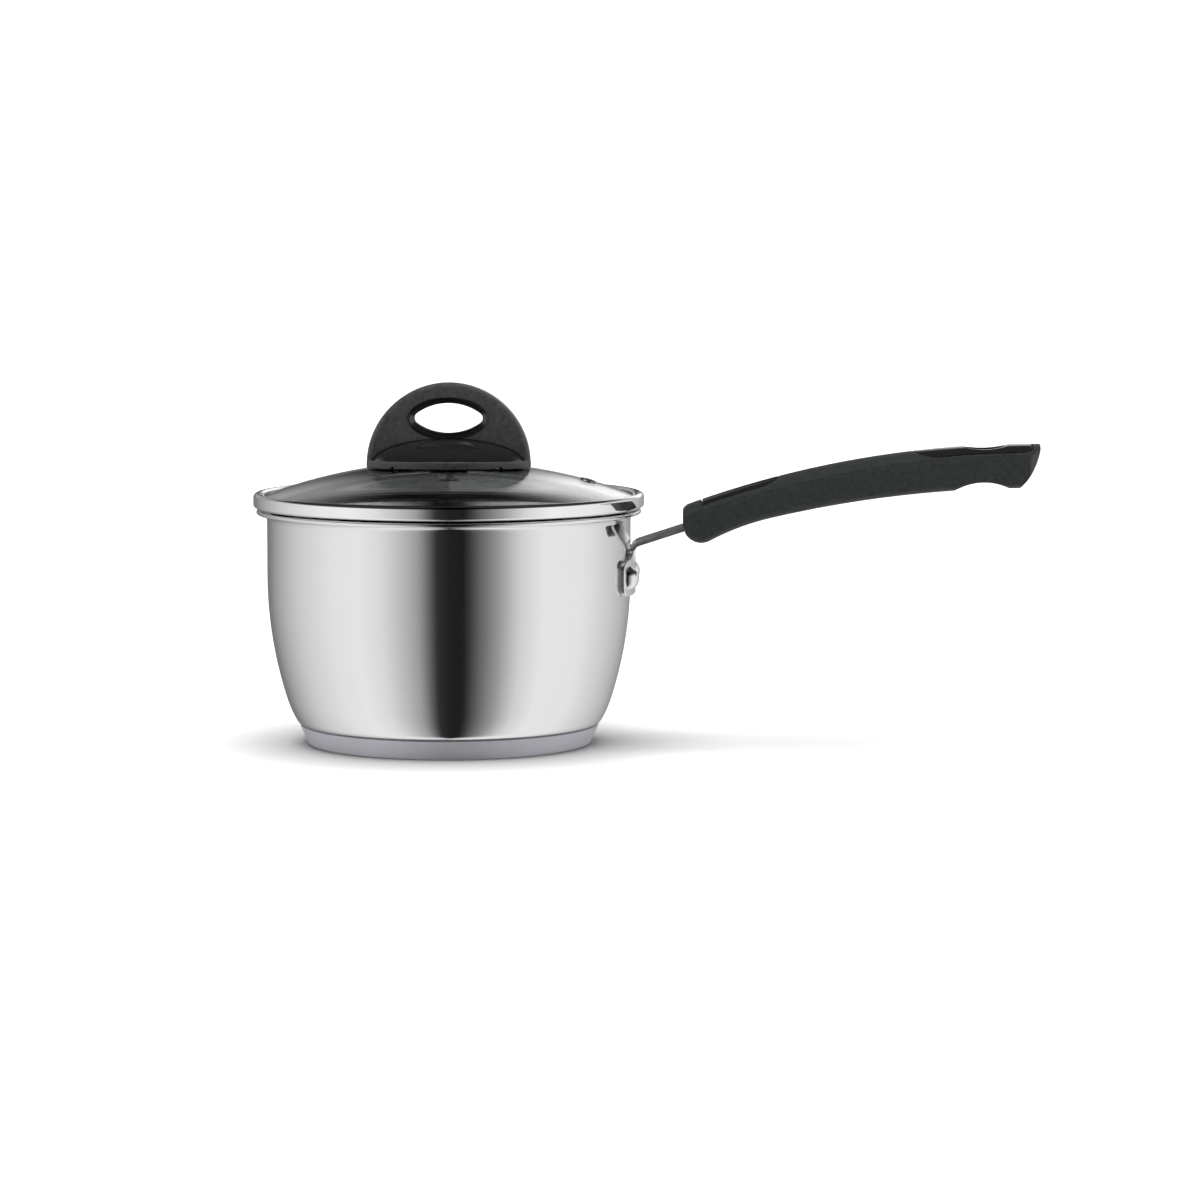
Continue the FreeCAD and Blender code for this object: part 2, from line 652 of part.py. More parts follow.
def scoop(depth, length, height, downward):
    """A bar across the grip that hollows its top or bottom at the hanging hole."""
    radius = (length ** 2 / 4 + depth ** 2) / (2 * depth)
    offset = radius - depth
    centre = height + offset * (1 if downward else -1)
    return Part.makeCylinder(radius, 2 * GRIP_WIDTH, Vector(HANG_CENTRE, -GRIP_WIDTH, centre), ACROSS)


def scoops():
    return [scoop(SCOOP_TOP_DEPTH, SCOOP_TOP_LENGTH, crown_height(HANG_CENTRE), True),
            scoop(SCOOP_BOTTOM_DEPTH, SCOOP_BOTTOM_LENGTH, keel_height(HANG_CENTRE), False)]


def grip_blank():
    """The grip's outer form, before any pocket."""
    form = crown_body().common(keel_body()).common(side_block()).common(plan_block())
    return form.cut(Part.makeCompound(scoops())).removeSplitter()


def skin(blank, thickness):
    """The top layer of the grip, as deep as an inlay."""
    lowered = blank.copy()
    lowered.translate(Vector(0, 0, -thickness))
    return blank.cut(lowered)


def hang_plan(grow):
    """Plan of the hanging end's inlay: as wide as the crown, with a blunt point towards the pot."""
    half = INSERT_WIDTH / 2 + grow
    end = GRIP_END - INSERT_SETBACK + grow
    start = GRIP_END - INSERT_SETBACK - INSERT_LENGTH - grow
    shoulder = start + INSERT_POINT_LENGTH
    height = keel_bottom() - GRIP_DEPTH_BELOW / 2
    turn = INSERT_CORNER
    point = Vector(start, 0, height)

    def side(sign):
        bow = Vector(start + INSERT_POINT_LENGTH * INSERT_BOW_SETBACK,
                     sign * half * INSERT_BOW_WIDTH, height)
        ease = turn * (1 - math.sqrt(0.5))
        corner = Vector(end - ease, sign * (half - ease), height)
        return [
            Part.Arc(point, bow, Vector(shoulder, sign * half, height)).toShape(),
            line(Vector(shoulder, sign * half, height), Vector(end - turn, sign * half, height)),
            Part.Arc(Vector(end - turn, sign * half, height), corner,
                     Vector(end, sign * (half - turn), height)).toShape(),
        ]

    closing = line(Vector(end, turn - half, height), Vector(end, half - turn, height))
    return face_of(side(1) + side(-1) + [closing]).extrude(UP * (2 * GRIP_DEPTH_BELOW))


def thumb_plan(grow):
    """Plan of the thumb inlay: a shield, straight towards the pot and round towards the hand."""
    half = THUMB_WIDTH / 2 + grow
    start = GRIP_FRONT + THUMB_SETBACK - grow
    end = GRIP_FRONT + THUMB_SETBACK + THUMB_LENGTH + grow
    height = keel_height(GRIP_FRONT) - GRIP_DEPTH_BELOW / 2
    tall = 2 * GRIP_DEPTH_BELOW
    straight = Part.makeBox(end - half - start, 2 * half, tall, Vector(start, -half, height))
    return straight.fuse(rod(half, height, height + tall, end - half)).removeSplitter()


def hang_hole(extra):
    return slot_prism(HANG_HOLE_LENGTH + 2 * extra, HANG_HOLE_WIDTH + 2 * extra, HANG_CENTRE,
                      keel_bottom() - 2 * TRIM_MARGIN, crown_top() + TRIM_MARGIN)


def make_hang_insert(blank):
    """The glossy inlay of the hanging end, with the sleeve that lines its hole."""
    leaf = skin(blank, INSERT_THICKNESS).common(hang_plan(0.0))
    sleeve = blank.common(hang_hole(INSERT_SLEEVE_WALL))
    return leaf.fuse(sleeve).removeSplitter().cut(hang_hole(0.0))


def make_thumb_inlay(blank):
    return skin(blank, INSERT_THICKNESS).common(thumb_plan(0.0))


def shoulder_groove():
    """The fine hollow line where the crowned top meets each flat side."""
    height = crown_top() - CROWN_HEIGHT
    grooves = []
    for side in (-1, 1):
        place = Vector(crest_x(), side * GRIP_WIDTH / 2, height)
        disc = Part.makeCircle(SHOULDER_GROOVE, place, Vector(1, 0, 0))
        grooves.append(swept_about(face_of([disc]), crown_centre(), SWEEP_BACK, SWEEP_ON))
    return grooves


def make_handle_grip(blank):
    pocket_skin = skin(blank, INSERT_THICKNESS)
    cuts = [
        pocket_skin.common(hang_plan(INSERT_GROOVE)),
        pocket_skin.common(thumb_plan(INSERT_GROOVE)),
        hang_hole(INSERT_SLEEVE_WALL),
        strap_body(TANG_CLEARANCE),
        screw_hole(SCREW_RADIUS + SCREW_CLEARANCE)[2],
        grip_screw_head(SCREW_CLEARANCE, SCREW_BORE_LENGTH),
    ]
    return blank.cut(Part.makeCompound(cuts + shoulder_groove()))


# ---------------------------------------------------------------- grip screw

def screw_head_depth():
    """Distance from the tang down to the outer face of the screw's head."""
    place, direction, _bore = screw_hole(SCREW_RADIUS)
    return (place.z - keel_height(place.x)) * math.cos(math.radians(STRAP_RISE)) - SCREW_HEAD_RECESS


def grip_screw_head(extra, length):
    place, direction, _bore = screw_hole(SCREW_RADIUS)
    start = place + direction * (screw_head_depth() - SCREW_HEAD_HEIGHT - extra)
    return Part.makeCylinder(SCREW_HEAD_RADIUS + extra, length, start, direction)


def make_handle_screw():
    place, direction, _bore = screw_hole(SCREW_RADIUS)
    shank = Part.makeCylinder(SCREW_RADIUS, screw_head_depth() + SCREW_PAST_TANG,
                              place - direction * SCREW_PAST_TANG, direction)
    head = grip_screw_head(0.0, SCREW_HEAD_HEIGHT)
    tip = place + direction * screw_head_depth()
    reach = SCREW_SLOT_REACH
    width = SCREW_SLOT_WIDTH
    depth = SCREW_HEAD_HEIGHT / 2
    across = Part.makeBox(2 * reach, width, 2 * depth, Vector(-reach, -width / 2, -depth))
    along = Part.makeBox(width, 2 * reach, 2 * depth, Vector(-width / 2, -reach, -depth))
    cross = across.fuse(along)
    cross.rotate(ORIGIN, ACROSS, -STRAP_RISE)
    cross.translate(tip)
    return shank.fuse(head).cut(cross)


# ---------------------------------------------------------------- lid

def glass_dome(outward):
    """The ball that bounds the glass above, or that ball grown outward."""
    return sphere(GLASS_DOME_RADIUS + outward, GLASS_CENTRE_HEIGHT)


def glass_hollow():
    return sphere(GLASS_UNDER_RADIUS, GLASS_CENTRE_HEIGHT)


def on_glass(shape):
    """Moves a shape drawn upright at the origin to the vent's place, square to the glass."""
    tilt = math.degrees(math.asin(VENT_DISTANCE / GLASS_DOME_RADIUS))
    shape.translate(Vector(0, 0, GLASS_DOME_RADIUS))
    shape.rotate(ORIGIN, ACROSS, tilt)
    shape.rotate(ORIGIN, UP, VENT_BEARING)
    shape.translate(Vector(0, 0, GLASS_CENTRE_HEIGHT))
    return shape


def make_lid_glass():
    disc = rod(GLASS_RADIUS, GLASS_SEAT, GLASS_APEX + 1)
    glass = disc.common(glass_dome(0.0)).cut(glass_hollow())
    vent = on_glass(rod(VENT_HOLE_RADIUS + VENT_TUBE_WALL, -2 * TRIM_MARGIN, TRIM_MARGIN))
    return glass.cut(rod(GLASS_HOLE_RADIUS, 0, GLASS_APEX + 1)).cut(vent)


def glass_height(radius):
    return GLASS_CENTRE_HEIGHT + math.sqrt(GLASS_DOME_RADIUS ** 2 - radius ** 2)


def band_path():
    """The outside of the rim band: over the glass, down the face, in under it and down into the pot."""
    curl = flat(BAND_CURL_RADIUS, glass_height(BAND_CURL_RADIUS) + BAND_SHEET)
    edge = flat(BAND_RADIUS - BAND_EDGE_RADIUS, BAND_TOP - BAND_EDGE_RADIUS)
    to_curl = curl.sub(edge)
    spread = math.degrees(math.acos(BAND_EDGE_RADIUS / to_curl.Length))
    slope = math.degrees(math.atan2(to_curl.z, to_curl.x)) - spread
    foot = flat(BAND_RADIUS - BAND_FOOT_RADIUS, BAND_SHELF + BAND_FOOT_RADIUS)
    skirt = POT_INNER_RADIUS - SKIRT_CLEARANCE
    fold = flat(skirt + SKIRT_TURN, BAND_SHELF - SKIRT_TURN)
    skirt_foot = flat(skirt - SKIRT_LEAN, POT_HEIGHT - SKIRT_DEPTH)
    return [
        line(curl, polar(edge, BAND_EDGE_RADIUS, slope)),
        arc(edge, BAND_EDGE_RADIUS, slope, 0),
        line(flat(BAND_RADIUS, edge.z), flat(BAND_RADIUS, foot.z)),
        arc(foot, BAND_FOOT_RADIUS, 0, -90),
        line(flat(foot.x, BAND_SHELF), flat(fold.x, BAND_SHELF)),
        arc(fold, SKIRT_TURN, 90, 180),
        line(flat(skirt, fold.z), skirt_foot),
    ]


def make_lid_rim_band():
    return spun(sheet(band_path(), -BAND_SHEET))


def make_lid_rim_bedding(glass, band):
    """The clear bead that fills the band round the edge of the glass."""
    inner = POT_INNER_RADIUS + SKIRT_CLEARANCE + BED_START
    outer = BAND_RADIUS - BAND_SHEET - BED_SETBACK
    fill = ring(inner, outer, BAND_SHELF + BAND_SHEET, BAND_TOP - BAND_SHEET - BED_DROP)
    bead = fill.cut(glass).cut(band).cut(rod(GLASS_RADIUS, 0, GLASS_SEAT).cut(rod(inner, 0, GLASS_SEAT)))
    under = ring(GLASS_RADIUS - BED_WIDTH, GLASS_RADIUS, BAND_SHELF + BAND_SHEET, GLASS_SEAT)
    solids = sorted(bead.Solids, key=lambda solid: solid.Volume)
    return solids[-1].fuse(under).cut(band).cut(glass).removeSplitter()


def make_vent_grommet():
    """A steel eyelet pressed through the glass."""
    seat = -GLASS_THICKNESS - VENT_SEAT_GAP
    tube = VENT_HOLE_RADIUS + VENT_TUBE_WALL
    lower = VENT_FLANGE_RADIUS - VENT_FLANGE_LIP
    points = [
        flat(VENT_HOLE_RADIUS, seat - VENT_FLANGE_HEIGHT),
        flat(lower, seat - VENT_FLANGE_HEIGHT),
        flat(lower, seat),
        flat(tube, seat),
        flat(tube, 0),
        flat(VENT_FLANGE_RADIUS, 0),
        flat(VENT_FLANGE_RADIUS, VENT_FLANGE_HEIGHT / 3),
        flat(VENT_FLANGE_RADIUS - VENT_BEVEL, VENT_FLANGE_HEIGHT),
        flat(VENT_HOLE_RADIUS + VENT_MOUTH, VENT_FLANGE_HEIGHT),
        flat(VENT_HOLE_RADIUS, VENT_FLANGE_HEIGHT / 2),
    ]
    return on_glass(spun(polygon(points)))


# ---------------------------------------------------------------- knob

def rounded_outline_block():
    """The knob seen from the front: a half disc on short upright sides."""
    radius = KNOB_WIDTH / 2 - FIN_INSET
    centre = flat(0, KNOB_CENTRE_HEIGHT)
    foot = glass_height(radius) - TRIM_MARGIN
    edges = [
        arc(centre, radius, 0, 180),
        line(flat(-radius, centre.z), flat(-radius, foot)),
        line(flat(-radius, foot), flat(radius, foot)),
        line(flat(radius, foot), flat(radius, centre.z)),
    ]
    block = face_of(edges).extrude(ACROSS * (2 * FIN_FOOT_THICKNESS))
    block.translate(ACROSS * -FIN_FOOT_THICKNESS)
    return block


def fin_wedge():
    """The fin seen from its end: thicker at the foot than at the top."""
    foot = glass_height(KNOB_WIDTH / 2) - FIN_FOOT_SINK
    top = KNOB_CENTRE_HEIGHT + KNOB_WIDTH / 2 + 1
    wide = FIN_FOOT_THICKNESS / 2
    narrow = FIN_TOP_THICKNESS / 2
    reach = KNOB_WIDTH / 2 + 1
    section = polygon([Vector(-reach, -wide, foot), Vector(-reach, wide, foot),
                       Vector(-reach, narrow, top), Vector(-reach, -narrow, top)])
    return section.extrude(Vector(2 * reach, 0, 0))


def eye_face(length, height, end_radius, centre_height):
    """An eye-shaped opening: two shallow arcs joined by rounded ends, in the plane Y = 0."""
    half = length / 2
    rise = height / 2
    middle = flat(0, centre_height)
    end_centre = flat(half - end_radius, centre_height)
    # the big arc is tangent to each end circle inside it
    big = (end_centre.x ** 2 + rise ** 2 - end_radius ** 2) / (2 * (rise - end_radius))
    low_centre = middle + Vector(0, 0, rise - big)
    angle = math.degrees(math.atan2(end_centre.z - low_centre.z, end_centre.x))
    high_centre = middle - Vector(0, 0, rise - big)
    other = flat(-end_centre.x, centre_height)
    return face_of([
        arc(low_centre, big, angle, 180 - angle),
        arc(other, end_radius, 180 - angle, 180 + angle),
        arc(high_centre, big, 180 + angle, 360 - angle),
        arc(end_centre, end_radius, -angle, angle),
    ])


def finger_hole():
    """The finger hole, narrow in the middle of the fin and flared to both faces."""
    height = KNOB_CENTRE_HEIGHT + FINGER_HOLE_RISE
    half = FIN_FOOT_THICKNESS / 2
    throat = eye_face(FINGER_HOLE_LENGTH, FINGER_HOLE_HEIGHT, FINGER_HOLE_END_RADIUS, height)
    mouth = eye_face(FINGER_HOLE_LENGTH + 2 * FINGER_FLARE, FINGER_HOLE_HEIGHT + 2 * FINGER_FLARE,
                     FINGER_HOLE_END_RADIUS + FINGER_FLARE, height)
    pieces = []
    for side in (-1, 1):
        inner = throat.OuterWire.copy()
        inner.translate(ACROSS * (side * half * FINGER_THROAT))
        outer = mouth.OuterWire.copy()
        outer.translate(ACROSS * (side * half))
        pieces.append(Part.makeLoft([inner, outer], True, True))
    bore = throat.extrude(ACROSS * FIN_FOOT_THICKNESS)
    bore.translate(ACROSS * -half)
    return [bore] + pieces


def knob_dome():
    """The ball, squashed to an oval, that bounds the glossy base of the knob."""
    inset = KNOB_RIM_WALL
    ball = Part.makeSphere(1.0)
    matrix = FreeCAD.Matrix()
    matrix.scale(KNOB_WIDTH / 2 - inset, KNOB_DEPTH / 2 - inset, KNOB_BASE_HEIGHT)
    oval = ball.transformGeometry(matrix)
    oval.translate(Vector(0, 0, KNOB_CENTRE_HEIGHT))
    return oval


def notches():
    cuts = []
    for bearing in NOTCH_BEARINGS:
        cut = Part.makeBox(KNOB_WIDTH, NOTCH_WIDTH, KNOB_WIDTH, Vector(0, -NOTCH_WIDTH / 2, 0))
        cut.translate(UP * (GLASS_APEX - KNOB_WIDTH))
        cut.rotate(ORIGIN, UP, bearing)
        cuts.append(cut.common(glass_dome(KNOB_GAP + NOTCH_HEIGHT)))
    return cuts


def knob_base_blank():
    """The base's outer form: the squashed ball over an upright oval skirt."""
    skirt = ellipse_prism(KNOB_WIDTH - 2 * KNOB_RIM_WALL, KNOB_DEPTH - 2 * KNOB_RIM_WALL,
                          KNOB_CENTRE_HEIGHT - 2 * KNOB_BASE_HEIGHT, KNOB_CENTRE_HEIGHT)
    return knob_dome().fuse(skirt).removeSplitter()


def make_knob_base():
    """The glossy oval base, hollowed underneath to follow the glass, with seats for seal and insert."""
    body = knob_base_blank().cut(glass_dome(KNOB_GAP))
    body = body.cut(rod(SEAL_UPPER_RADIUS + SEAL_SLEEVE_GAP, 0, GLASS_APEX + SEAL_UPPER_THICKNESS))
    return body.cut(rod(KNOB_SCREW_RADIUS + BRASS_WALL, 0, GLASS_APEX + SEAL_UPPER_THICKNESS + BRASS_LENGTH))


def make_knob_grip():
    """The fine-grained arch with its finger hole, and the oval rim that its feet run into."""
    fin = rounded_outline_block().common(fin_wedge())
    outer_edges = [edge for edge in fin.Edges if edge.BoundBox.XLength > KNOB_WIDTH * 0.9
                   and edge.BoundBox.ZLength > KNOB_WIDTH / 4]
    fin = fin.makeFillet(FIN_EDGE_RADIUS, outer_edges)
    fin = fin.cut(Part.makeCompound(finger_hole()))
    rim = ellipse_prism(KNOB_WIDTH, KNOB_DEPTH, GLASS_APEX - KNOB_RIM_REACH, GLASS_APEX + KNOB_RIM_REACH)
    rim = rim.common(glass_dome(KNOB_GAP + KNOB_RIM_HEIGHT))
    whole = fin.fuse(rim).removeSplitter().cut(glass_dome(KNOB_GAP)).cut(knob_base_blank())
    return whole.cut(Part.makeCompound(notches())).removeSplitter()


def seal_foot():
    return GLASS_APEX - GLASS_THICKNESS - SEAL_LOWER_THICKNESS


def make_knob_seal_upper():
    bore = KNOB_SCREW_RADIUS + SEAL_SLEEVE_GAP
    foot = glass_height(SEAL_UPPER_RADIUS) - 1
    return ring(bore, SEAL_UPPER_RADIUS, foot, GLASS_APEX + SEAL_UPPER_THICKNESS).cut(glass_dome(0.0))


def make_knob_seal_lower():
    """The seal under the glass, with the sleeve that keeps the screw off the edge of the hole."""
    bore = KNOB_SCREW_RADIUS + SEAL_SLEEVE_GAP
    washer = ring(bore, SEAL_LOWER_RADIUS, seal_foot(), GLASS_APEX - GLASS_THICKNESS).common(glass_hollow())
    sleeve = ring(bore, GLASS_HOLE_RADIUS - SEAL_SLEEVE_GAP, seal_foot(), GLASS_APEX - GLASS_THICKNESS / 4)
    return washer.fuse(sleeve).removeSplitter()


def make_knob_washer():
    bore = KNOB_SCREW_RADIUS + SEAL_SLEEVE_GAP
    return ring(bore, WASHER_RADIUS, seal_foot() - WASHER_THICKNESS, seal_foot())


def make_knob_screw():
    head_top = seal_foot() - WASHER_THICKNESS
    tip = GLASS_APEX + SEAL_UPPER_THICKNESS + BRASS_LENGTH - KNOB_SCREW_SHORTFALL
    head = rod(KNOB_SCREW_HEAD_RADIUS, head_top - KNOB_SCREW_HEAD_HEIGHT, head_top)
    rim = [edge for edge in head.Edges if edge.BoundBox.ZMax < head_top - KNOB_SCREW_HEAD_HEIGHT / 2]
    head = head.makeFillet(KNOB_SCREW_HEAD_HEIGHT / 3, [edge for edge in rim if edge.BoundBox.XLength > 2])
    reach = KNOB_SCREW_HEAD_RADIUS
    slot_foot = head_top - KNOB_SCREW_HEAD_HEIGHT
    slot = Part.makeBox(2 * reach, KNOB_SLOT_WIDTH, KNOB_SLOT_DEPTH,
                        Vector(-reach, -KNOB_SLOT_WIDTH / 2, slot_foot))
    return head.fuse(rod(KNOB_SCREW_RADIUS, head_top, tip)).cut(slot)


def make_knob_insert():
    """The brass insert moulded into the knob's base, which the screw runs into."""
    foot = GLASS_APEX + SEAL_UPPER_THICKNESS
    return ring(KNOB_SCREW_RADIUS, KNOB_SCREW_RADIUS + BRASS_WALL, foot, foot + BRASS_LENGTH)


# ---------------------------------------------------------------- build

def main():
    os.makedirs("parts", exist_ok=True)
    blank = grip_blank()
    glass = make_lid_glass()
    band = make_lid_rim_band()
    pieces = {
        "pot_shell": make_pot_shell(),
        "base_core": make_base_core(),
        "base_cap": make_base_cap(),
        "handle_bracket": make_handle_bracket(),
        "handle_rivet_front": make_rivet(-1),
        "handle_rivet_rear": make_rivet(1),
        "handle_grip": make_handle_grip(blank),
        "hang_insert": make_hang_insert(blank),
        "thumb_inlay": make_thumb_inlay(blank),
        "handle_screw": make_handle_screw(),
        "lid_glass": glass,
        "lid_rim_band": band,
        "lid_rim_bedding": make_lid_rim_bedding(glass, band),
        "vent_grommet": make_vent_grommet(),
        "knob_grip": make_knob_grip(),
        "knob_base": make_knob_base(),
        "knob_insert": make_knob_insert(),
        "knob_seal_upper": make_knob_seal_upper(),
        "knob_seal_lower": make_knob_seal_lower(),
        "knob_washer": make_knob_washer(),
        "knob_screw": make_knob_screw(),
    }
    for name, shape in pieces.items():
        box = shape.BoundBox
        print(name, "solids", len(shape.Solids), "valid", shape.isValid(), "volume", round(shape.Volume, 1),
              "z", round(box.ZMin, 2), round(box.ZMax, 2), "x", round(box.XMin, 2), round(box.XMax, 2))
        save(shape, name)


main()
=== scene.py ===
import logging
import math
from dataclasses import dataclass, field
from enum import Enum

import bmesh
import bpy
from mathutils import Matrix, Vector


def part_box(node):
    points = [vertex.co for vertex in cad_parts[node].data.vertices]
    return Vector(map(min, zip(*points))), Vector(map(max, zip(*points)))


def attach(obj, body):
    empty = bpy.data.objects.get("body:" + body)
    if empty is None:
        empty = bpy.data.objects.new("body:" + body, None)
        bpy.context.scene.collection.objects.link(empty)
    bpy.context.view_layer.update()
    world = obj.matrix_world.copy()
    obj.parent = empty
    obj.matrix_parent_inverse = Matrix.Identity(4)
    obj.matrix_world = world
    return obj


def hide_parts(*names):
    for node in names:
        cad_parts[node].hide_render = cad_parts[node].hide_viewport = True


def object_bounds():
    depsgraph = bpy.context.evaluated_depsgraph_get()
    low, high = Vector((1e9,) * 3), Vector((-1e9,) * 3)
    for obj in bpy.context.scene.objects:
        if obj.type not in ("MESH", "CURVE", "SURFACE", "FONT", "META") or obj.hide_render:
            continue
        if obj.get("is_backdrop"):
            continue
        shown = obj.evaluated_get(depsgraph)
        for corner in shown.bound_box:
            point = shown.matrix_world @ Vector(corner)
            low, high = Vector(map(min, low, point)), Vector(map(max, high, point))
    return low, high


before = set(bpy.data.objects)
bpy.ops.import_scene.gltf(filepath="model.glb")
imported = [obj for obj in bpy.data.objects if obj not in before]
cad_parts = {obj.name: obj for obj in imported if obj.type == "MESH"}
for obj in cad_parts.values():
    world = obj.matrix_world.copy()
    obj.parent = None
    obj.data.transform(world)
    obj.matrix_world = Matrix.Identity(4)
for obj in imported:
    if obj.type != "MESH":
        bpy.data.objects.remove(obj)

LOG = logging.getLogger("saucepan")
Point = tuple[float, float]
Colour = tuple[float, float, float]


class Body(Enum):
    """The two bodies that pieces ride on."""

    POT = "pot"
    LID = "lid"


# ---------------------------------------------------------------- outlines and meshes


@dataclass
class Outline:
    """A path in the plane of radius and height, built from straight runs and arcs."""

    points: list[Point] = field(default_factory=list)

    def to(self, radius: float, height: float) -> "Outline":
        """Adds one point.

        Args:
            radius: Distance from the axis, in metres.
            height: Height above the rest face, in metres.

        Returns:
            The outline itself, so that calls chain.
        """
        self.points.append((radius, height))
        return self

    def arc(self, centre: Point, radius: float, start: float, end: float, steps: int) -> "Outline":
        """Adds an arc.

        Args:
            centre: The arc's centre.
            radius: The arc's radius.
            start: Angle of its first point above the outward direction, in degrees.
            end: Angle of its last point, in degrees.
            steps: Number of segments.

        Returns:
            The outline itself, so that calls chain.
        """
        for step in range(steps + 1):
            angle = math.radians(start + (end - start) * step / steps)
            self.to(centre[0] + radius * math.cos(angle), centre[1] + radius * math.sin(angle))
        return self

    def thickened(self, thickness: float) -> list[Point]:
        """Closes the path into a sheet section.

        Args:
            thickness: Sheet thickness to the left of the path's direction.

        Returns:
            The points of a closed loop.
        """
        count = len(self.points)
        shifted: list[Point] = []
        for index, (radius, height) in enumerate(self.points):
            before = self.points[max(index - 1, 0)]
            after = self.points[min(index + 1, count - 1)]
            run, rise = after[0] - before[0], after[1] - before[1]
            length = math.hypot(run, rise) or 1.0
            shifted.append((max(radius - rise / length * thickness, 0.0), height + run / length * thickness))
        return self.points + shifted[::-1]


def meeting_angle(distance: float, near: float, far: float) -> float:
    """Angle at one circle's centre between the line of centres and a crossing point.

    Args:
        distance: Distance between the two centres.
        near: Radius of the circle whose angle is wanted.
        far: Radius of the other circle.

    Returns:
        The angle in degrees.
    """
    return math.degrees(math.acos((distance ** 2 + near ** 2 - far ** 2) / (2 * distance * near)))


class Workshop:
    """Makes mesh pieces and dresses them."""

    def __init__(self) -> None:
        """Starts with no pieces made."""
        self.made: list[str] = []

    def finish_piece(
        self, piece: bpy.types.Object, body: Body, node: str, material: bpy.types.Material
    ) -> None:
        """Dresses a new piece, says which node it stands for and lets it ride.

        Args:
            piece: The new object.
            body: The body that it moves with.
            node: The node that it replaces.
            material: Its material.
        """
        piece.data.materials.clear()
        piece.data.materials.append(material)
        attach(piece, body.value)
        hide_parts(node)
        self.made.append(piece.name)
        LOG.info("%s stands for %s, %d faces", piece.name, node, len(piece.data.polygons))

    def link(self, name: str, mesh: bpy.types.Mesh) -> bpy.types.Object:
        """Puts a mesh into the scene as an object.

        Args:
            name: The object's name.
            mesh: Its mesh.

        Returns:
            The new object.
        """
        piece = bpy.data.objects.new(name, mesh)
        bpy.context.scene.collection.objects.link(piece)
        return piece

    def lathe(self, name: str, loop: list[Point], turns: int = 192, crease: float = 32.0) -> bpy.types.Object:
        """Spins a closed loop of points round the vertical axis.

        Args:
            name: The object's name.
            loop: Points of radius and height, in order.
            turns: Number of segments round the axis.
            crease: Angle in degrees past which an edge stays sharp.

        Returns:
            The new object.
        """
        shape = bmesh.new()
        columns = []
        for turn in range(turns):
            angle = 2 * math.pi * turn / turns
            cosine, sine = math.cos(angle), math.sin(angle)
            columns.append([
                shape.verts.new((radius * cosine, radius * sine, height)) for radius, height in loop
            ])
        for turn in range(turns):
            here, there = columns[turn], columns[(turn + 1) % turns]
            for index in range(len(loop)):
                following = (index + 1) % len(loop)
                shape.faces.new((here[index], here[following], there[following], there[index]))
        bmesh.ops.remove_doubles(shape, verts=shape.verts, dist=1e-7)
        bmesh.ops.dissolve_degenerate(shape, dist=1e-8, edges=shape.edges)
        bmesh.ops.recalc_face_normals(shape, faces=shape.faces)
        mesh = bpy.data.meshes.new(name)
        shape.to_mesh(mesh)
        shape.free()
        self.smooth(mesh, crease)
        return self.link(name, mesh)

    def smooth(self, mesh: bpy.types.Mesh, crease: float) -> None:
        """Shades a mesh smooth but for its sharp edges.

        Args:
            mesh: The mesh.
            crease: Angle in degrees past which an edge stays sharp.
        """
        mesh.shade_smooth()
        mesh.set_sharp_from_angle(angle=math.radians(crease))

    def moulded(
        self, name: str, node: str, voxel: float, rounds: int, factor: float = 0.5
    ) -> bpy.types.Object:
        """Makes a moulded copy of a node: the same form with its edges eased.

        Args:
            name: The new object's name.
            node: The node to copy.
            voxel: Size of the remesh's cells, in metres.
            rounds: How many times the surface is relaxed.
            factor: Strength of each round.

        Returns:
            The new object.
        """
        source = self.link(name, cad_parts[node].data.copy())
        remesh = source.modifiers.new("remesh", "REMESH")
        remesh.mode = "VOXEL"
        remesh.voxel_size = voxel
        remesh.use_smooth_shade = True
        relax = source.modifiers.new("relax", "SMOOTH")
        relax.iterations = rounds
        relax.factor = factor
        return self.settled(source)

    def settled(self, piece: bpy.types.Object) -> bpy.types.Object:
        """Applies a piece's modifiers.

        Args:
            piece: The object.

        Returns:
            The same object, with a plain mesh.
        """
        graph = bpy.context.evaluated_depsgraph_get()
        mesh = bpy.data.meshes.new_from_object(piece.evaluated_get(graph))
        piece.modifiers.clear()
        piece.data = mesh
        return piece

    def bored(self, piece: bpy.types.Object, radius: float, place: Vector, axis: Vector) -> bpy.types.Object:
        """Drills a round hole through a piece.

        Args:
            piece: The object.
            radius: The hole's radius.
            place: A point on its axis.
            axis: Its direction.

        Returns:
            The same object.
        """
        shape = bmesh.new()
        bmesh.ops.create_cone(shape, cap_ends=True, segments=48, radius1=radius, radius2=radius, depth=0.03)
        mesh = bpy.data.meshes.new("drill")
        shape.to_mesh(mesh)
        shape.free()
        mesh.transform(Matrix.Translation(place) @ axis.to_track_quat("Z", "Y").to_matrix().to_4x4())
        drill = self.link("drill", mesh)
        cut = piece.modifiers.new("bore", "BOOLEAN")
        cut.object = drill
        cut.operation = "DIFFERENCE"
        cut.solver = "EXACT"
        self.settled(piece)
        bpy.data.objects.remove(drill)
        self.smooth(piece.data, 32.0)
        return piece


# ---------------------------------------------------------------- shader groups


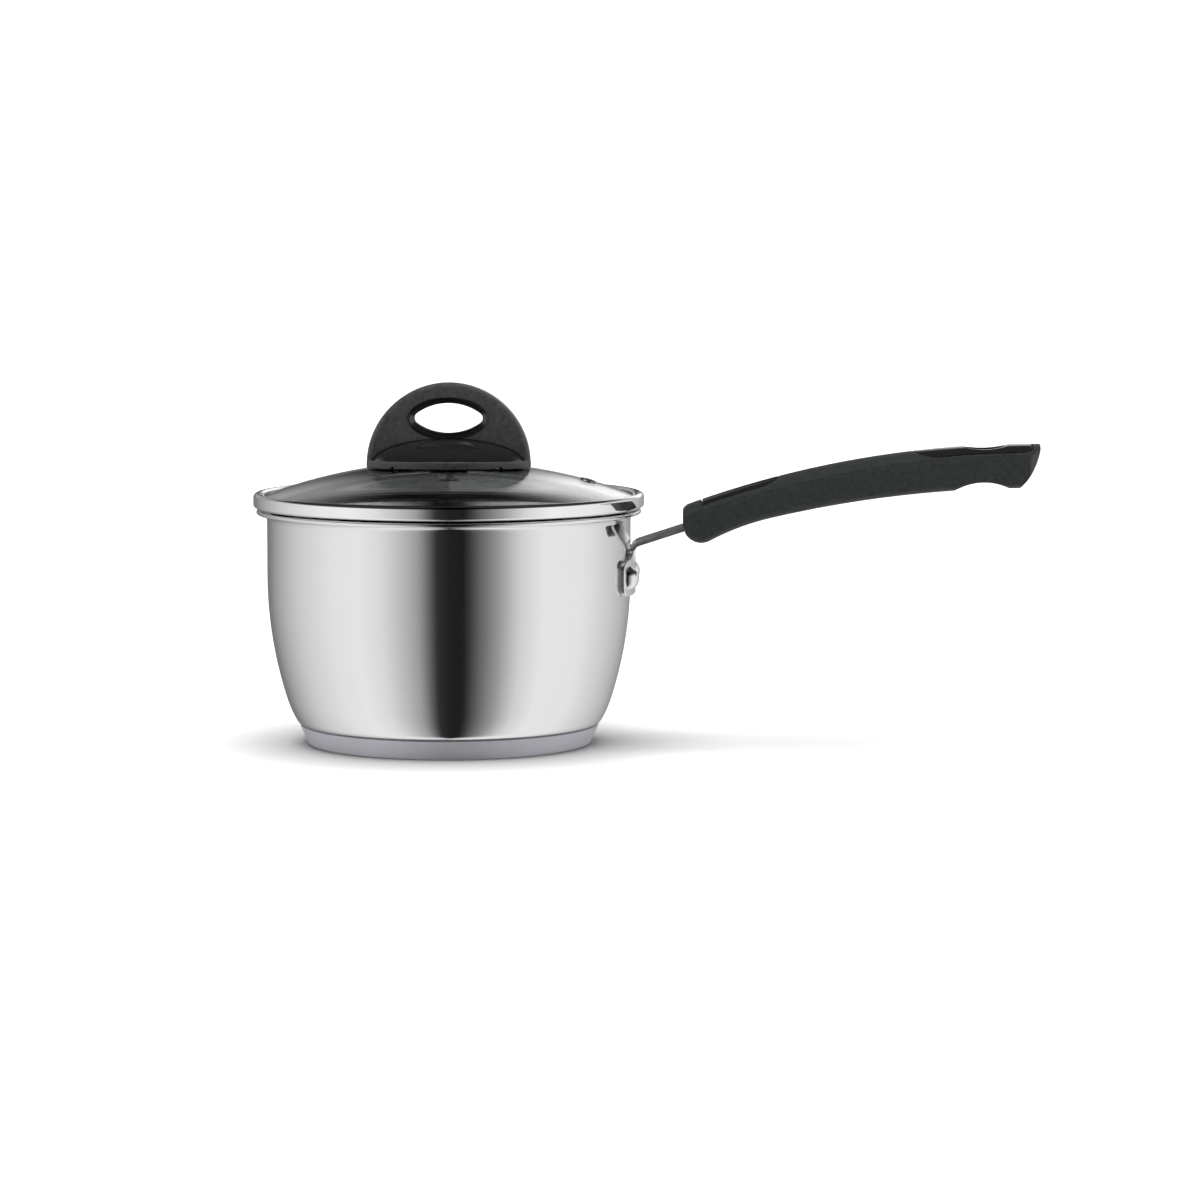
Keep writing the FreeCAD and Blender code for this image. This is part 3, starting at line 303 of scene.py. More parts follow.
class Effects:
    """Node groups that several finishes share, each built once."""

    def __init__(self) -> None:
        """Builds every group."""
        self.haze = self._haze()
        self.grain = self._grain()
        self.lathe_lines = self._lathe_lines()
        self.brushed = self._brushed()
        self.polished = self._polished()

    def _new(self, name: str, inputs: dict[str, float], outputs: list[str]) -> bpy.types.NodeTree:
        """Starts a group with float inputs, a position input and float outputs.

        Args:
            name: The group's name.
            inputs: Input names with their defaults.
            outputs: Output names.

        Returns:
            The new node tree.
        """
        tree = bpy.data.node_groups.new(name, "ShaderNodeTree")
        tree.interface.new_socket("Position", in_out="INPUT", socket_type="NodeSocketVector")
        for label, value in inputs.items():
            socket = tree.interface.new_socket(label, in_out="INPUT", socket_type="NodeSocketFloat")
            socket.default_value = value
        for label in outputs:
            tree.interface.new_socket(label, in_out="OUTPUT", socket_type="NodeSocketFloat")
        tree.nodes.new("NodeGroupInput").name = "in"
        tree.nodes.new("NodeGroupOutput").name = "out"
        return tree

    def _math(self, tree: bpy.types.NodeTree, operation: str, *values: object) -> bpy.types.NodeSocket:
        """Adds a math node.

        Args:
            tree: The tree it goes into.
            operation: The math node's operation.
            values: Numbers or sockets for its inputs.

        Returns:
            Its output socket.
        """
        node = tree.nodes.new("ShaderNodeMath")
        node.operation = operation
        for index, value in enumerate(values):
            if isinstance(value, (int, float)):
                node.inputs[index].default_value = value
            else:
                tree.links.new(value, node.inputs[index])
        return node.outputs[0]

    def _noise(
        self, tree: bpy.types.NodeTree, vector: object, scale: object, detail: float
    ) -> bpy.types.NodeSocket:
        """Adds a noise texture.

        Args:
            tree: The tree it goes into.
            vector: Socket with the position.
            scale: A number or a socket.
            detail: The noise's detail.

        Returns:
            Its value socket.
        """
        node = tree.nodes.new("ShaderNodeTexNoise")
        node.inputs["Detail"].default_value = detail
        tree.links.new(vector, node.inputs["Vector"])
        if isinstance(scale, (int, float)):
            node.inputs["Scale"].default_value = scale
        else:
            tree.links.new(scale, node.inputs["Scale"])
        return node.outputs["Fac"]

    def _haze(self) -> bpy.types.NodeTree:
        """Soft patches, as handling and washing leave on a polished surface."""
        tree = self._new("handling haze", {"Scale": 30.0, "Fine Scale": 400.0}, ["Mask"])
        source, sink = tree.nodes["in"], tree.nodes["out"]
        broad = self._noise(tree, source.outputs["Position"], source.outputs["Scale"], 4.0)
        fine = self._noise(tree, source.outputs["Position"], source.outputs["Fine Scale"], 2.0)
        mixed = self._math(tree, "MULTIPLY_ADD", fine, 0.35, self._math(tree, "MULTIPLY", broad, 0.65))
        tree.links.new(mixed, sink.inputs["Mask"])
        return tree

    def _grain(self) -> bpy.types.NodeTree:
        """The fine pebbled grain of a spark-eroded mould."""
        tree = self._new("mould grain", {"Scale": 2600.0}, ["Height", "Speck"])
        source, sink = tree.nodes["in"], tree.nodes["out"]
        cells = tree.nodes.new("ShaderNodeTexVoronoi")
        cells.feature = "SMOOTH_F1"
        tree.links.new(source.outputs["Position"], cells.inputs["Vector"])
        tree.links.new(source.outputs["Scale"], cells.inputs["Scale"])
        noise = self._noise(tree, source.outputs["Position"], source.outputs["Scale"], 3.0)
        fine = self._math(tree, "MULTIPLY", noise, 0.4)
        height = self._math(tree, "MULTIPLY_ADD", cells.outputs["Distance"], 0.6, fine)
        tree.links.new(height, sink.inputs["Height"])
        tree.links.new(self._math(tree, "POWER", noise, 2.0), sink.inputs["Speck"])
        return tree

    def _lathe_lines(self) -> bpy.types.NodeTree:
        """Fine rings round the axis, as polishing on a lathe leaves."""
        tree = self._new("lathe lines", {"Scale": 1500.0}, ["Height"])
        source, sink = tree.nodes["in"], tree.nodes["out"]
        parts = tree.nodes.new("ShaderNodeSeparateXYZ")
        tree.links.new(source.outputs["Position"], parts.inputs[0])
        across = self._math(tree, "POWER", parts.outputs["X"], 2.0)
        away = self._math(tree, "POWER", parts.outputs["Y"], 2.0)
        radius = self._math(tree, "SQRT", self._math(tree, "ADD", across, away))
        joined = tree.nodes.new("ShaderNodeCombineXYZ")
        tree.links.new(radius, joined.inputs["X"])
        tree.links.new(parts.outputs["Z"], joined.inputs["Z"])
        rings = self._noise(tree, joined.outputs[0], source.outputs["Scale"], 3.0)
        tree.links.new(rings, sink.inputs["Height"])
        return tree

    def _brushed(self) -> bpy.types.NodeTree:
        """Short strokes along one direction, stretched by the given ratio."""
        tree = self._new("brushed strokes", {"Scale": 1200.0, "Stretch": 0.04}, ["Height"])
        source, sink = tree.nodes["in"], tree.nodes["out"]
        parts = tree.nodes.new("ShaderNodeSeparateXYZ")
        tree.links.new(source.outputs["Position"], parts.inputs[0])
        joined = tree.nodes.new("ShaderNodeCombineXYZ")
        stretch = source.outputs["Stretch"]
        tree.links.new(self._math(tree, "MULTIPLY", parts.outputs["X"], stretch), joined.inputs["X"])
        tree.links.new(parts.outputs["Y"], joined.inputs["Y"])
        tree.links.new(self._math(tree, "MULTIPLY", parts.outputs["Z"], stretch), joined.inputs["Z"])
        strokes = self._noise(tree, joined.outputs[0], source.outputs["Scale"], 2.0)
        tree.links.new(strokes, sink.inputs["Height"])
        return tree

    def _polished(self) -> bpy.types.NodeTree:
        """An oval in the upright plane across the knob, one inside and nought outside."""
        oval = {"Height": 0.0, "Half Width": 0.018, "Half Height": 0.0095}
        tree = self._new("polished oval", oval, ["Mask"])
        source, sink = tree.nodes["in"], tree.nodes["out"]
        parts = tree.nodes.new("ShaderNodeSeparateXYZ")
        tree.links.new(source.outputs["Position"], parts.inputs[0])
        across = self._math(tree, "DIVIDE", parts.outputs["X"], source.outputs["Half Width"])
        above = self._math(tree, "SUBTRACT", parts.outputs["Z"], source.outputs["Height"])
        above = self._math(tree, "DIVIDE", above, source.outputs["Half Height"])
        across = self._math(tree, "POWER", across, 2.0)
        above = self._math(tree, "POWER", above, 2.0)
        reach = self._math(tree, "ADD", across, above)
        edge = tree.nodes.new("ShaderNodeMapRange")
        edge.inputs["From Min"].default_value = 1.06
        edge.inputs["From Max"].default_value = 0.94
        tree.links.new(reach, edge.inputs["Value"])
        tree.links.new(edge.outputs["Result"], sink.inputs["Mask"])
        return tree


class Pattern(Enum):
    """The surface relief that a finish carries."""

    HAZE = "haze"
    GRAIN = "grain"
    LATHE = "lathe_lines"
    BRUSHED = "brushed"


@dataclass(frozen=True)
class Finish:
    """One finish: its colour, its gloss and the relief it carries.

    Roughness runs from smooth to hazed where the haze mask is high.
    """

    name: str
    colour: Colour
    second_colour: Colour
    smooth: float
    hazed: float
    metallic: float = 0.0
    transmission: float = 0.0
    ior: float = 1.5
    pattern: Pattern = Pattern.HAZE
    pattern_scale: float = 30.0
    bump: float = 0.0
    bump_depth: float = 0.0002
    haze_scale: float = 30.0
    coat: float = 0.0
    specular: float = 0.5
    polished_height: float = 0.0

    def build(self, effects: Effects) -> bpy.types.Material:
        """Makes the material.

        Args:
            effects: The shared node groups.

        Returns:
            The new material.
        """
        material = bpy.data.materials.new(self.name)
        material.use_nodes = True
        tree = material.node_tree
        shader = tree.nodes["Principled BSDF"]
        shader.inputs["Metallic"].default_value = self.metallic
        shader.inputs["Transmission Weight"].default_value = self.transmission
        shader.inputs["IOR"].default_value = self.ior
        shader.inputs["Coat Weight"].default_value = self.coat
        shader.inputs["Coat Roughness"].default_value = 0.08
        shader.inputs["Specular IOR Level"].default_value = self.specular
        place = tree.nodes.new("ShaderNodeTexCoord")
        haze = self._group(tree, effects.haze, place, self.haze_scale)
        self._ramp(tree, haze.outputs["Mask"], shader.inputs["Roughness"], self.smooth, self.hazed)
        self._tint(tree, haze.outputs["Mask"], shader.inputs["Base Color"])
        if self.bump > 0:
            relief = self._group(tree, getattr(effects, self.pattern.value), place, self.pattern_scale)
            bump = tree.nodes.new("ShaderNodeBump")
            bump.inputs["Strength"].default_value = self.bump
            bump.inputs["Distance"].default_value = self.bump_depth
            tree.links.new(relief.outputs[0], bump.inputs["Height"])
            tree.links.new(bump.outputs["Normal"], shader.inputs["Normal"])
        if self.polished_height > 0:
            self._polish(tree, effects, place)
        return material

    def _polish(self, tree: bpy.types.NodeTree, effects: Effects, place: bpy.types.Node) -> None:
        """Leaves an oval round the finger hole polished and dark.

        Args:
            tree: The material's tree.
            effects: The shared node groups.
            place: The texture coordinate node.
        """
        shader = tree.nodes["Principled BSDF"]
        oval = tree.nodes.new("ShaderNodeGroup")
        oval.node_tree = effects.polished
        oval.inputs["Height"].default_value = self.polished_height
        tree.links.new(place.outputs["Object"], oval.inputs["Position"])
        polish = (("Roughness", "FLOAT", 0.2), ("Base Color", "RGBA", (0.008, 0.008, 0.009, 1.0)))
        for label, kind, inside in polish:
            grained = shader.inputs[label].links[0].from_socket
            mix = tree.nodes.new("ShaderNodeMix")
            mix.data_type = kind
            sockets = [socket for socket in mix.inputs if socket.enabled]
            tree.links.new(oval.outputs["Mask"], sockets[0])
            tree.links.new(grained, sockets[1])
            sockets[2].default_value = inside
            result = [socket for socket in mix.outputs if socket.enabled][0]
            tree.links.new(result, shader.inputs[label])
        bump = shader.inputs["Normal"].links[0].from_node
        relief = bump.inputs["Height"].links[0].from_socket
        flat = tree.nodes.new("ShaderNodeMath")
        flat.operation = "MULTIPLY_ADD"
        flat.inputs[1].default_value = -1.0
        flat.inputs[2].default_value = 1.0
        tree.links.new(oval.outputs["Mask"], flat.inputs[0])
        height = tree.nodes.new("ShaderNodeMath")
        height.operation = "MULTIPLY"
        tree.links.new(relief, height.inputs[0])
        tree.links.new(flat.outputs[0], height.inputs[1])
        tree.links.new(height.outputs[0], bump.inputs["Height"])

    def _group(self, tree: bpy.types.NodeTree, group: bpy.types.NodeTree, place: bpy.types.Node,
               scale: float) -> bpy.types.Node:
        """Places a shared group.

        Args:
            tree: The material's tree.
            group: The shared group.
            place: The texture coordinate node.
            scale: The group's scale.

        Returns:
            The group's node.
        """
        node = tree.nodes.new("ShaderNodeGroup")
        node.node_tree = group
        node.inputs["Scale"].default_value = scale
        tree.links.new(place.outputs["Object"], node.inputs["Position"])
        return node

    def _ramp(self, tree: bpy.types.NodeTree, mask: bpy.types.NodeSocket, target: bpy.types.NodeSocket,
              low: float, high: float) -> None:
        """Maps a mask to a range of values.

        Args:
            tree: The material's tree.
            mask: The mask.
            target: The socket that the values feed.
            low: Value where the mask is low.
            high: Value where it is high.
        """
        ramp = tree.nodes.new("ShaderNodeMapRange")
        ramp.inputs["From Min"].default_value = 0.3
        ramp.inputs["From Max"].default_value = 0.7
        ramp.inputs["To Min"].default_value = low
        ramp.inputs["To Max"].default_value = high
        tree.links.new(mask, ramp.inputs["Value"])
        tree.links.new(ramp.outputs["Result"], target)

    def _tint(
        self, tree: bpy.types.NodeTree, mask: bpy.types.NodeSocket, target: bpy.types.NodeSocket
    ) -> None:
        """Varies the colour with a mask.

        Args:
            tree: The material's tree.
            mask: The mask.
            target: The colour socket.
        """
        mix = tree.nodes.new("ShaderNodeMix")
        mix.data_type = "RGBA"
        mix.inputs["A"].default_value = (*self.colour, 1.0)
        mix.inputs["B"].default_value = (*self.second_colour, 1.0)
        tree.links.new(mask, mix.inputs["Factor"])
        tree.links.new(mix.outputs["Result"], target)


FINISHES: tuple[Finish, ...] = (
    Finish("mirror steel", (0.80, 0.80, 0.80), (0.76, 0.76, 0.765), 0.05, 0.10, metallic=1.0,
           pattern=Pattern.LATHE, pattern_scale=900.0, bump=0.005, haze_scale=26.0),
    Finish("band steel", (0.86, 0.86, 0.86), (0.82, 0.82, 0.825), 0.03, 0.07, metallic=1.0,
           pattern=Pattern.LATHE, pattern_scale=900.0, bump=0.008, haze_scale=40.0),
    Finish("satin steel", (0.66, 0.66, 0.71), (0.60, 0.60, 0.65), 0.50, 0.60, metallic=0.45,
           pattern=Pattern.LATHE, pattern_scale=3000.0, bump=0.10, haze_scale=60.0),
    Finish("bracket steel", (0.92, 0.92, 0.92), (0.84, 0.84, 0.84), 0.24, 0.38, metallic=1.0,
           pattern=Pattern.BRUSHED, pattern_scale=900.0, bump=0.03, haze_scale=90.0),
    Finish("rivet steel", (0.84, 0.84, 0.84), (0.74, 0.74, 0.74), 0.12, 0.22, metallic=1.0,
           pattern=Pattern.HAZE, pattern_scale=160.0, bump=0.02, haze_scale=220.0),
    Finish("core aluminium", (0.72, 0.72, 0.73), (0.66, 0.66, 0.67), 0.35, 0.5, metallic=1.0,
           pattern=Pattern.LATHE, pattern_scale=2000.0, bump=0.08),
    Finish("grained plastic", (0.006, 0.0075, 0.0072), (0.052, 0.057, 0.056), 0.36, 0.60,
           pattern=Pattern.GRAIN, pattern_scale=1300.0, bump=0.9, haze_scale=700.0, specular=0.5),
    Finish("knob plastic", (0.008, 0.009, 0.009), (0.120, 0.123, 0.128), 0.34, 0.52,
           pattern=Pattern.GRAIN, pattern_scale=1300.0, bump=0.9, haze_scale=700.0, specular=0.5,
           polished_height=0.1446),
    Finish("gloss plastic", (0.010, 0.010, 0.011), (0.016, 0.016, 0.017), 0.06, 0.13,
           pattern=Pattern.HAZE, pattern_scale=120.0, bump=0.01, haze_scale=120.0, coat=0.3),
    Finish("lid glass", (0.90, 0.918, 0.912), (0.885, 0.905, 0.90), 0.0, 0.015, transmission=1.0, ior=1.5,
           haze_scale=24.0),
    Finish("clear sealant", (0.45, 0.47, 0.46), (0.38, 0.40, 0.39), 0.35, 0.5, haze_scale=300.0,
           pattern=Pattern.GRAIN, pattern_scale=900.0, bump=0.05),
    Finish("black silicone", (0.020, 0.020, 0.021), (0.030, 0.030, 0.030), 0.5, 0.62, haze_scale=500.0,
           pattern=Pattern.GRAIN, pattern_scale=1800.0, bump=0.08),
    Finish("plain brass", (0.72, 0.52, 0.24), (0.64, 0.46, 0.21), 0.2, 0.35, metallic=1.0,
           pattern=Pattern.LATHE, pattern_scale=2500.0, bump=0.06),
    Finish("plated screw steel", (0.62, 0.62, 0.63), (0.52, 0.52, 0.53), 0.18, 0.32, metallic=1.0,
           pattern=Pattern.LATHE, pattern_scale=2500.0, bump=0.05),
)


class Palette:
    """Builds every finish and hands the materials out by name."""

    def __init__(self) -> None:
        """Builds the shared effects and the materials."""
        effects = Effects()
        self.materials = {finish.name: finish.build(effects) for finish in FINISHES}

    def __getitem__(self, name: str) -> bpy.types.Material:
        """Returns the material of a finish."""
        return self.materials[name]

    def dress(self, node: str, name: str) -> None:
        """Gives a node that stays as it is a material.

        Args:
            node: The node.
            name: The finish's name.
        """
        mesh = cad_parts[node].data
        mesh.materials.clear()
        mesh.materials.append(self[name])


# ---------------------------------------------------------------- pot


@dataclass
class PotAssembly:
    """The spun steel pot and its sandwich base."""

    wall: float = 0.0008
    straight_depth: float = 0.0296
    belly_radius: float = 0.180
    heel_start: float = 0.020
    heel_radius: float = 0.048
    corner_start: float = 0.011
    corner_radius: float = 0.006
    flare_radius: float = 0.0037
    bead_radius: float = 0.001
    cap_sheet: float = 0.0006
    cap_taper: float = 22.7
    cap_edge_radius: float = 0.0014
    cap_seam_share: float = 0.81
    # points of the groove under the seam: how far in from the cap's side, and how far down
    cap_groove: tuple[Point, ...] = ((0.0003, 0.0008), (0.00045, 0.0006), (0.0009, 0.0004))
    cap_tuck: Point = (0.0006, 0.0005)

    def __post_init__(self) -> None:
        """Reads the pot's height and lip from the frame."""
        low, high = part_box("pot_shell")
        self.top: float = high.z
        self.floor: float = low.z
        self.outer: float = high.x - self.bead_radius - self.flare_radius

    def corner(self) -> tuple[Point, float, Point, float, Point]:
        """Finds the centres and end angles of the belly, heel and corner arcs.

        Returns:
            Belly centre and end angle, heel centre and end angle, and corner centre.
        """
        straight_foot = self.top - self.straight_depth
        belly = (self.outer - self.belly_radius, straight_foot)
        belly_end = -math.degrees(math.asin((straight_foot - self.heel_start) / self.belly_radius))
        heel = self._inward(belly, belly_end, self.belly_radius, self.heel_radius)
        heel_end = -math.degrees(math.asin((heel[1] - self.corner_start) / self.heel_radius))
        corner = self._inward(heel, heel_end, self.heel_radius, self.corner_radius)
        return belly, belly_end, heel, heel_end, corner

    def _inward(self, centre: Point, angle: float, radius: float, next_radius: float) -> Point:
        """Centre of the arc that takes over smoothly from another.

        Args:
            centre: The first arc's centre.
            angle: The angle where it ends, in degrees.
            radius: Its radius.
            next_radius: The next arc's radius.

        Returns:
            The next arc's centre.
        """
        turn = math.radians(angle)
        reach = radius - next_radius
        return centre[0] + reach * math.cos(turn), centre[1] + reach * math.sin(turn)

    def shell_loop(self) -> list[Point]:
        """Outline of the pot's wall: outside, rolled lip and inside."""
        belly, belly_end, heel, heel_end, corner = self.corner()
        neck_height = self.top - self.bead_radius - self.wall / 2 - self.flare_radius
        neck = (self.outer + self.flare_radius, neck_height)
        bead = (neck[0], self.top - self.bead_radius)
        gap = bead[1] - neck[1]
        inner_flare = self.flare_radius + self.wall
        outer_meet = meeting_angle(gap, self.flare_radius, self.bead_radius)
        inner_meet = meeting_angle(gap, inner_flare, self.bead_radius)
        bead_from = meeting_angle(gap, self.bead_radius, self.flare_radius)
        bead_to = meeting_angle(gap, self.bead_radius, inner_flare)
        outline = Outline().to(0.0, self.floor)
        outline.arc(corner, self.corner_radius, -90, heel_end, 14)
        outline.arc(heel, self.heel_radius, heel_end, belly_end, 20)
        outline.arc(belly, self.belly_radius, belly_end, 0, 28)
        outline.arc(neck, self.flare_radius, 180, 90 + outer_meet, 14)
        outline.arc(bead, self.bead_radius, -90 - bead_from, 270 - bead_to, 28)
        outline.arc(neck, inner_flare, 90 + inner_meet, 180, 14)
        outline.arc(belly, self.belly_radius - self.wall, 0, belly_end, 28)
        outline.arc(heel, self.heel_radius - self.wall, belly_end, heel_end, 20)
        outline.arc(corner, self.corner_radius - self.wall, heel_end, -90, 14)
        outline.to(0.0, self.floor + self.wall)
        return outline.points

    def cap_loop(self) -> list[Point]:
        """Outline of the dish under the pot."""
        low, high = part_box("base_cap")
        taper = math.radians(self.cap_taper)
        corner = self.corner()[4]
        foot = high.x - high.z * math.tan(taper)
        setback = self.cap_edge_radius * math.tan((math.pi / 2 - taper) / 2)
        edge = (foot - setback, self.cap_edge_radius)
        seam = corner[1] - self.corner_radius * self.cap_seam_share
        side = foot + seam * math.tan(taper)
        tuck = side - self.cap_sheet
        outline = Outline().to(0.0, low.z).arc(edge, self.cap_edge_radius, -90, -self.cap_taper, 12)
        for inward, down in self.cap_groove:
            outline.to(side - inward, seam - down)
        outline.to(tuck - self.cap_tuck[0], seam - self.cap_tuck[1])
        outline.to(foot - self.cap_sheet, 2 * self.cap_edge_radius)
        return outline.to(edge[0], self.cap_sheet).to(0.0, self.cap_sheet).points

    def build(self, shop: Workshop, palette: Palette) -> None:
        """Makes the pot's pieces.

        Args:
            shop: The workshop.
            palette: The materials.
        """
        shell = shop.lathe("spun_pot_body", self.shell_loop(), turns=256)
        shop.finish_piece(shell, Body.POT, "pot_shell", palette["mirror steel"])
        cap = shop.lathe("pressed_base_cap", self.cap_loop())
        shop.finish_piece(cap, Body.POT, "base_cap", palette["satin steel"])
        palette.dress("base_core", "core aluminium")


# ---------------------------------------------------------------- handle


@dataclass
class HandleAssembly:
    """Bracket, rivets, grip, its two polished inlays and its screw."""

    grip_voxel: float = 0.00036
    inlay_voxel: float = 0.0003
    bracket_voxel: float = 0.00028

    def build(self, shop: Workshop, palette: Palette) -> None:
        """Makes the handle's pieces.

        Args:
            shop: The workshop.
            palette: The materials.
        """
        grip = shop.moulded("moulded_grip", "handle_grip", self.grip_voxel, 3)
        shop.finish_piece(grip, Body.POT, "handle_grip", palette["grained plastic"])
        inlays = (("polished_hanging_inlay", "hang_insert"), ("polished_thumb_inlay", "thumb_inlay"))
        for name, node in inlays:
            inlay = shop.moulded(name, node, self.inlay_voxel, 3)
            shop.finish_piece(inlay, Body.POT, node, palette["gloss plastic"])
        bracket = shop.moulded("pressed_bracket", "handle_bracket", self.bracket_voxel, 5)
        shop.finish_piece(bracket, Body.POT, "handle_bracket", palette["bracket steel"])
        palette.dress("handle_rivet_front", "rivet steel")
        palette.dress("handle_rivet_rear", "rivet steel")
        palette.dress("handle_screw", "plated screw steel")


# ---------------------------------------------------------------- lid


@dataclass
class LidAssembly:
    """The domed glass, its rim band and bead, and the steam vent."""

    dome_radius: float = 0.236
    thickness: float = 0.004
    centre_hole: float = 0.0046
    vent_hole: float = 0.00275
    band_sheet: float = 0.0006
    band_curl: float = 0.0042
    band_edge: float = 0.0019
    band_foot: float = 0.0014
    band_gap: float = 0.0007
    band_settle: float = 0.0007
    skirt_turn: float = 0.0012
    edge_ease: float = 0.0004
    rest_gap: float = 0.0003
    skirt_inset: float = 0.0065
    shelf_inset: float = 0.0012
    skirt_slant: float = 0.0004
    band_crease: float = 40.0

    def glass_loop(self) -> list[Point]:
        """Outline of the glass from the hole's edge out to the rim and back."""
        low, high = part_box("lid_glass")
        apex = self.apex()
        centre = (0.0, apex - self.dome_radius)
        under = self.dome_radius - self.thickness
        rim = high.x
        over_rim = math.degrees(math.acos((rim - self.edge_ease) / self.dome_radius))
        over_hole = math.degrees(math.acos((self.centre_hole + self.edge_ease) / self.dome_radius))
        seat = math.sqrt(under ** 2 - (low.z - centre[1]) ** 2)
        under_rim = math.degrees(math.acos(seat / under))
        under_hole = math.degrees(math.acos((self.centre_hole + self.edge_ease) / under))
        outline = Outline().arc(centre, self.dome_radius, over_hole, over_rim, 60)
        outline.to(rim, outline.points[-1][1] - self.edge_ease)
        outline.to(rim, low.z + self.edge_ease).to(rim - self.edge_ease, low.z)
        outline.arc(centre, under, under_rim, under_hole, 60)
        outline.to(self.centre_hole, outline.points[-1][1] + self.edge_ease)
        return outline.to(self.centre_hole, outline.points[0][1] - self.edge_ease).points

    def apex(self) -> float:
        """Height of the dome's top, worked out from the edge of the glass at its centre hole."""
        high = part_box("lid_glass")[1]
        drop = self.dome_radius - math.sqrt(self.dome_radius ** 2 - self.centre_hole ** 2)
        return high.z + drop

    def band_loop(self) -> list[Point]:
        """Outline of the rim band: over the glass, down its face, in under the rim and into the pot."""
        low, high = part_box("lid_rim_band")
        face = high.x
        top = high.z - self.band_settle
        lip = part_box("pot_shell")[1]
        shelf = lip.z + self.rest_gap
        curl_radius = face - self.band_curl
        glass = self.apex() - self.dome_radius + math.sqrt(self.dome_radius ** 2 - curl_radius ** 2)
        edge = (face - self.band_edge, top - self.band_edge)
        run, rise = curl_radius - edge[0], glass + self.band_sheet - edge[1]
        spread = math.degrees(math.acos(self.band_edge / math.hypot(run, rise)))
        slope = math.degrees(math.atan2(rise, run)) - spread
        foot = (face - self.band_foot, shelf + self.band_gap + self.band_foot)
        skirt = lip.x - self.skirt_inset
        outline = Outline().to(curl_radius, glass + self.band_sheet)
        outline.arc(edge, self.band_edge, slope, 0, 20)
        outline.arc(foot, self.band_foot, 0, -90, 12).to(lip.x - self.shelf_inset, shelf)
        outline.arc((skirt + self.skirt_turn, shelf - self.skirt_turn), self.skirt_turn, 90, 180, 8)
        outline.to(skirt - self.skirt_slant, low.z)
        return Outline(outline.points[::-1]).thickened(self.band_sheet)

    def build(self, shop: Workshop, palette: Palette) -> None:
        """Makes the lid's pieces.

        Args:
            shop: The workshop.
            palette: The materials.
        """
        glass = shop.lathe("domed_glass", self.glass_loop(), turns=256)
        low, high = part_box("vent_grommet")
        middle = (low + high) / 2
        centre = Vector((0.0, 0.0, self.apex() - self.dome_radius))
        shop.bored(glass, self.vent_hole, middle, (middle - centre).normalized())
        shop.finish_piece(glass, Body.LID, "lid_glass", palette["lid glass"])
        band = shop.lathe("rolled_rim_band", self.band_loop(), turns=256, crease=self.band_crease)
        shop.finish_piece(band, Body.LID, "lid_rim_band", palette["band steel"])
        palette.dress("lid_rim_bedding", "clear sealant")
        palette.dress("vent_grommet", "rivet steel")


# ---------------------------------------------------------------- knob


@dataclass
class KnobAssembly:
    """The arched knob, its polished base and the fixing through the glass."""

    grip_voxel: float = 0.00034

    def build(self, shop: Workshop, palette: Palette) -> None:
        """Makes the knob's pieces.

        Args:
            shop: The workshop.
            palette: The materials.
        """
        arch = shop.moulded("moulded_knob_arch", "knob_grip", self.grip_voxel, 6)
        shop.finish_piece(arch, Body.LID, "knob_grip", palette["knob plastic"])
        palette.dress("knob_base", "gloss plastic")
        palette.dress("knob_insert", "plain brass")
        palette.dress("knob_seal_upper", "black silicone")
        palette.dress("knob_seal_lower", "black silicone")
        palette.dress("knob_washer", "plated screw steel")
        palette.dress("knob_screw", "plated screw steel")


# ---------------------------------------------------------------- studio


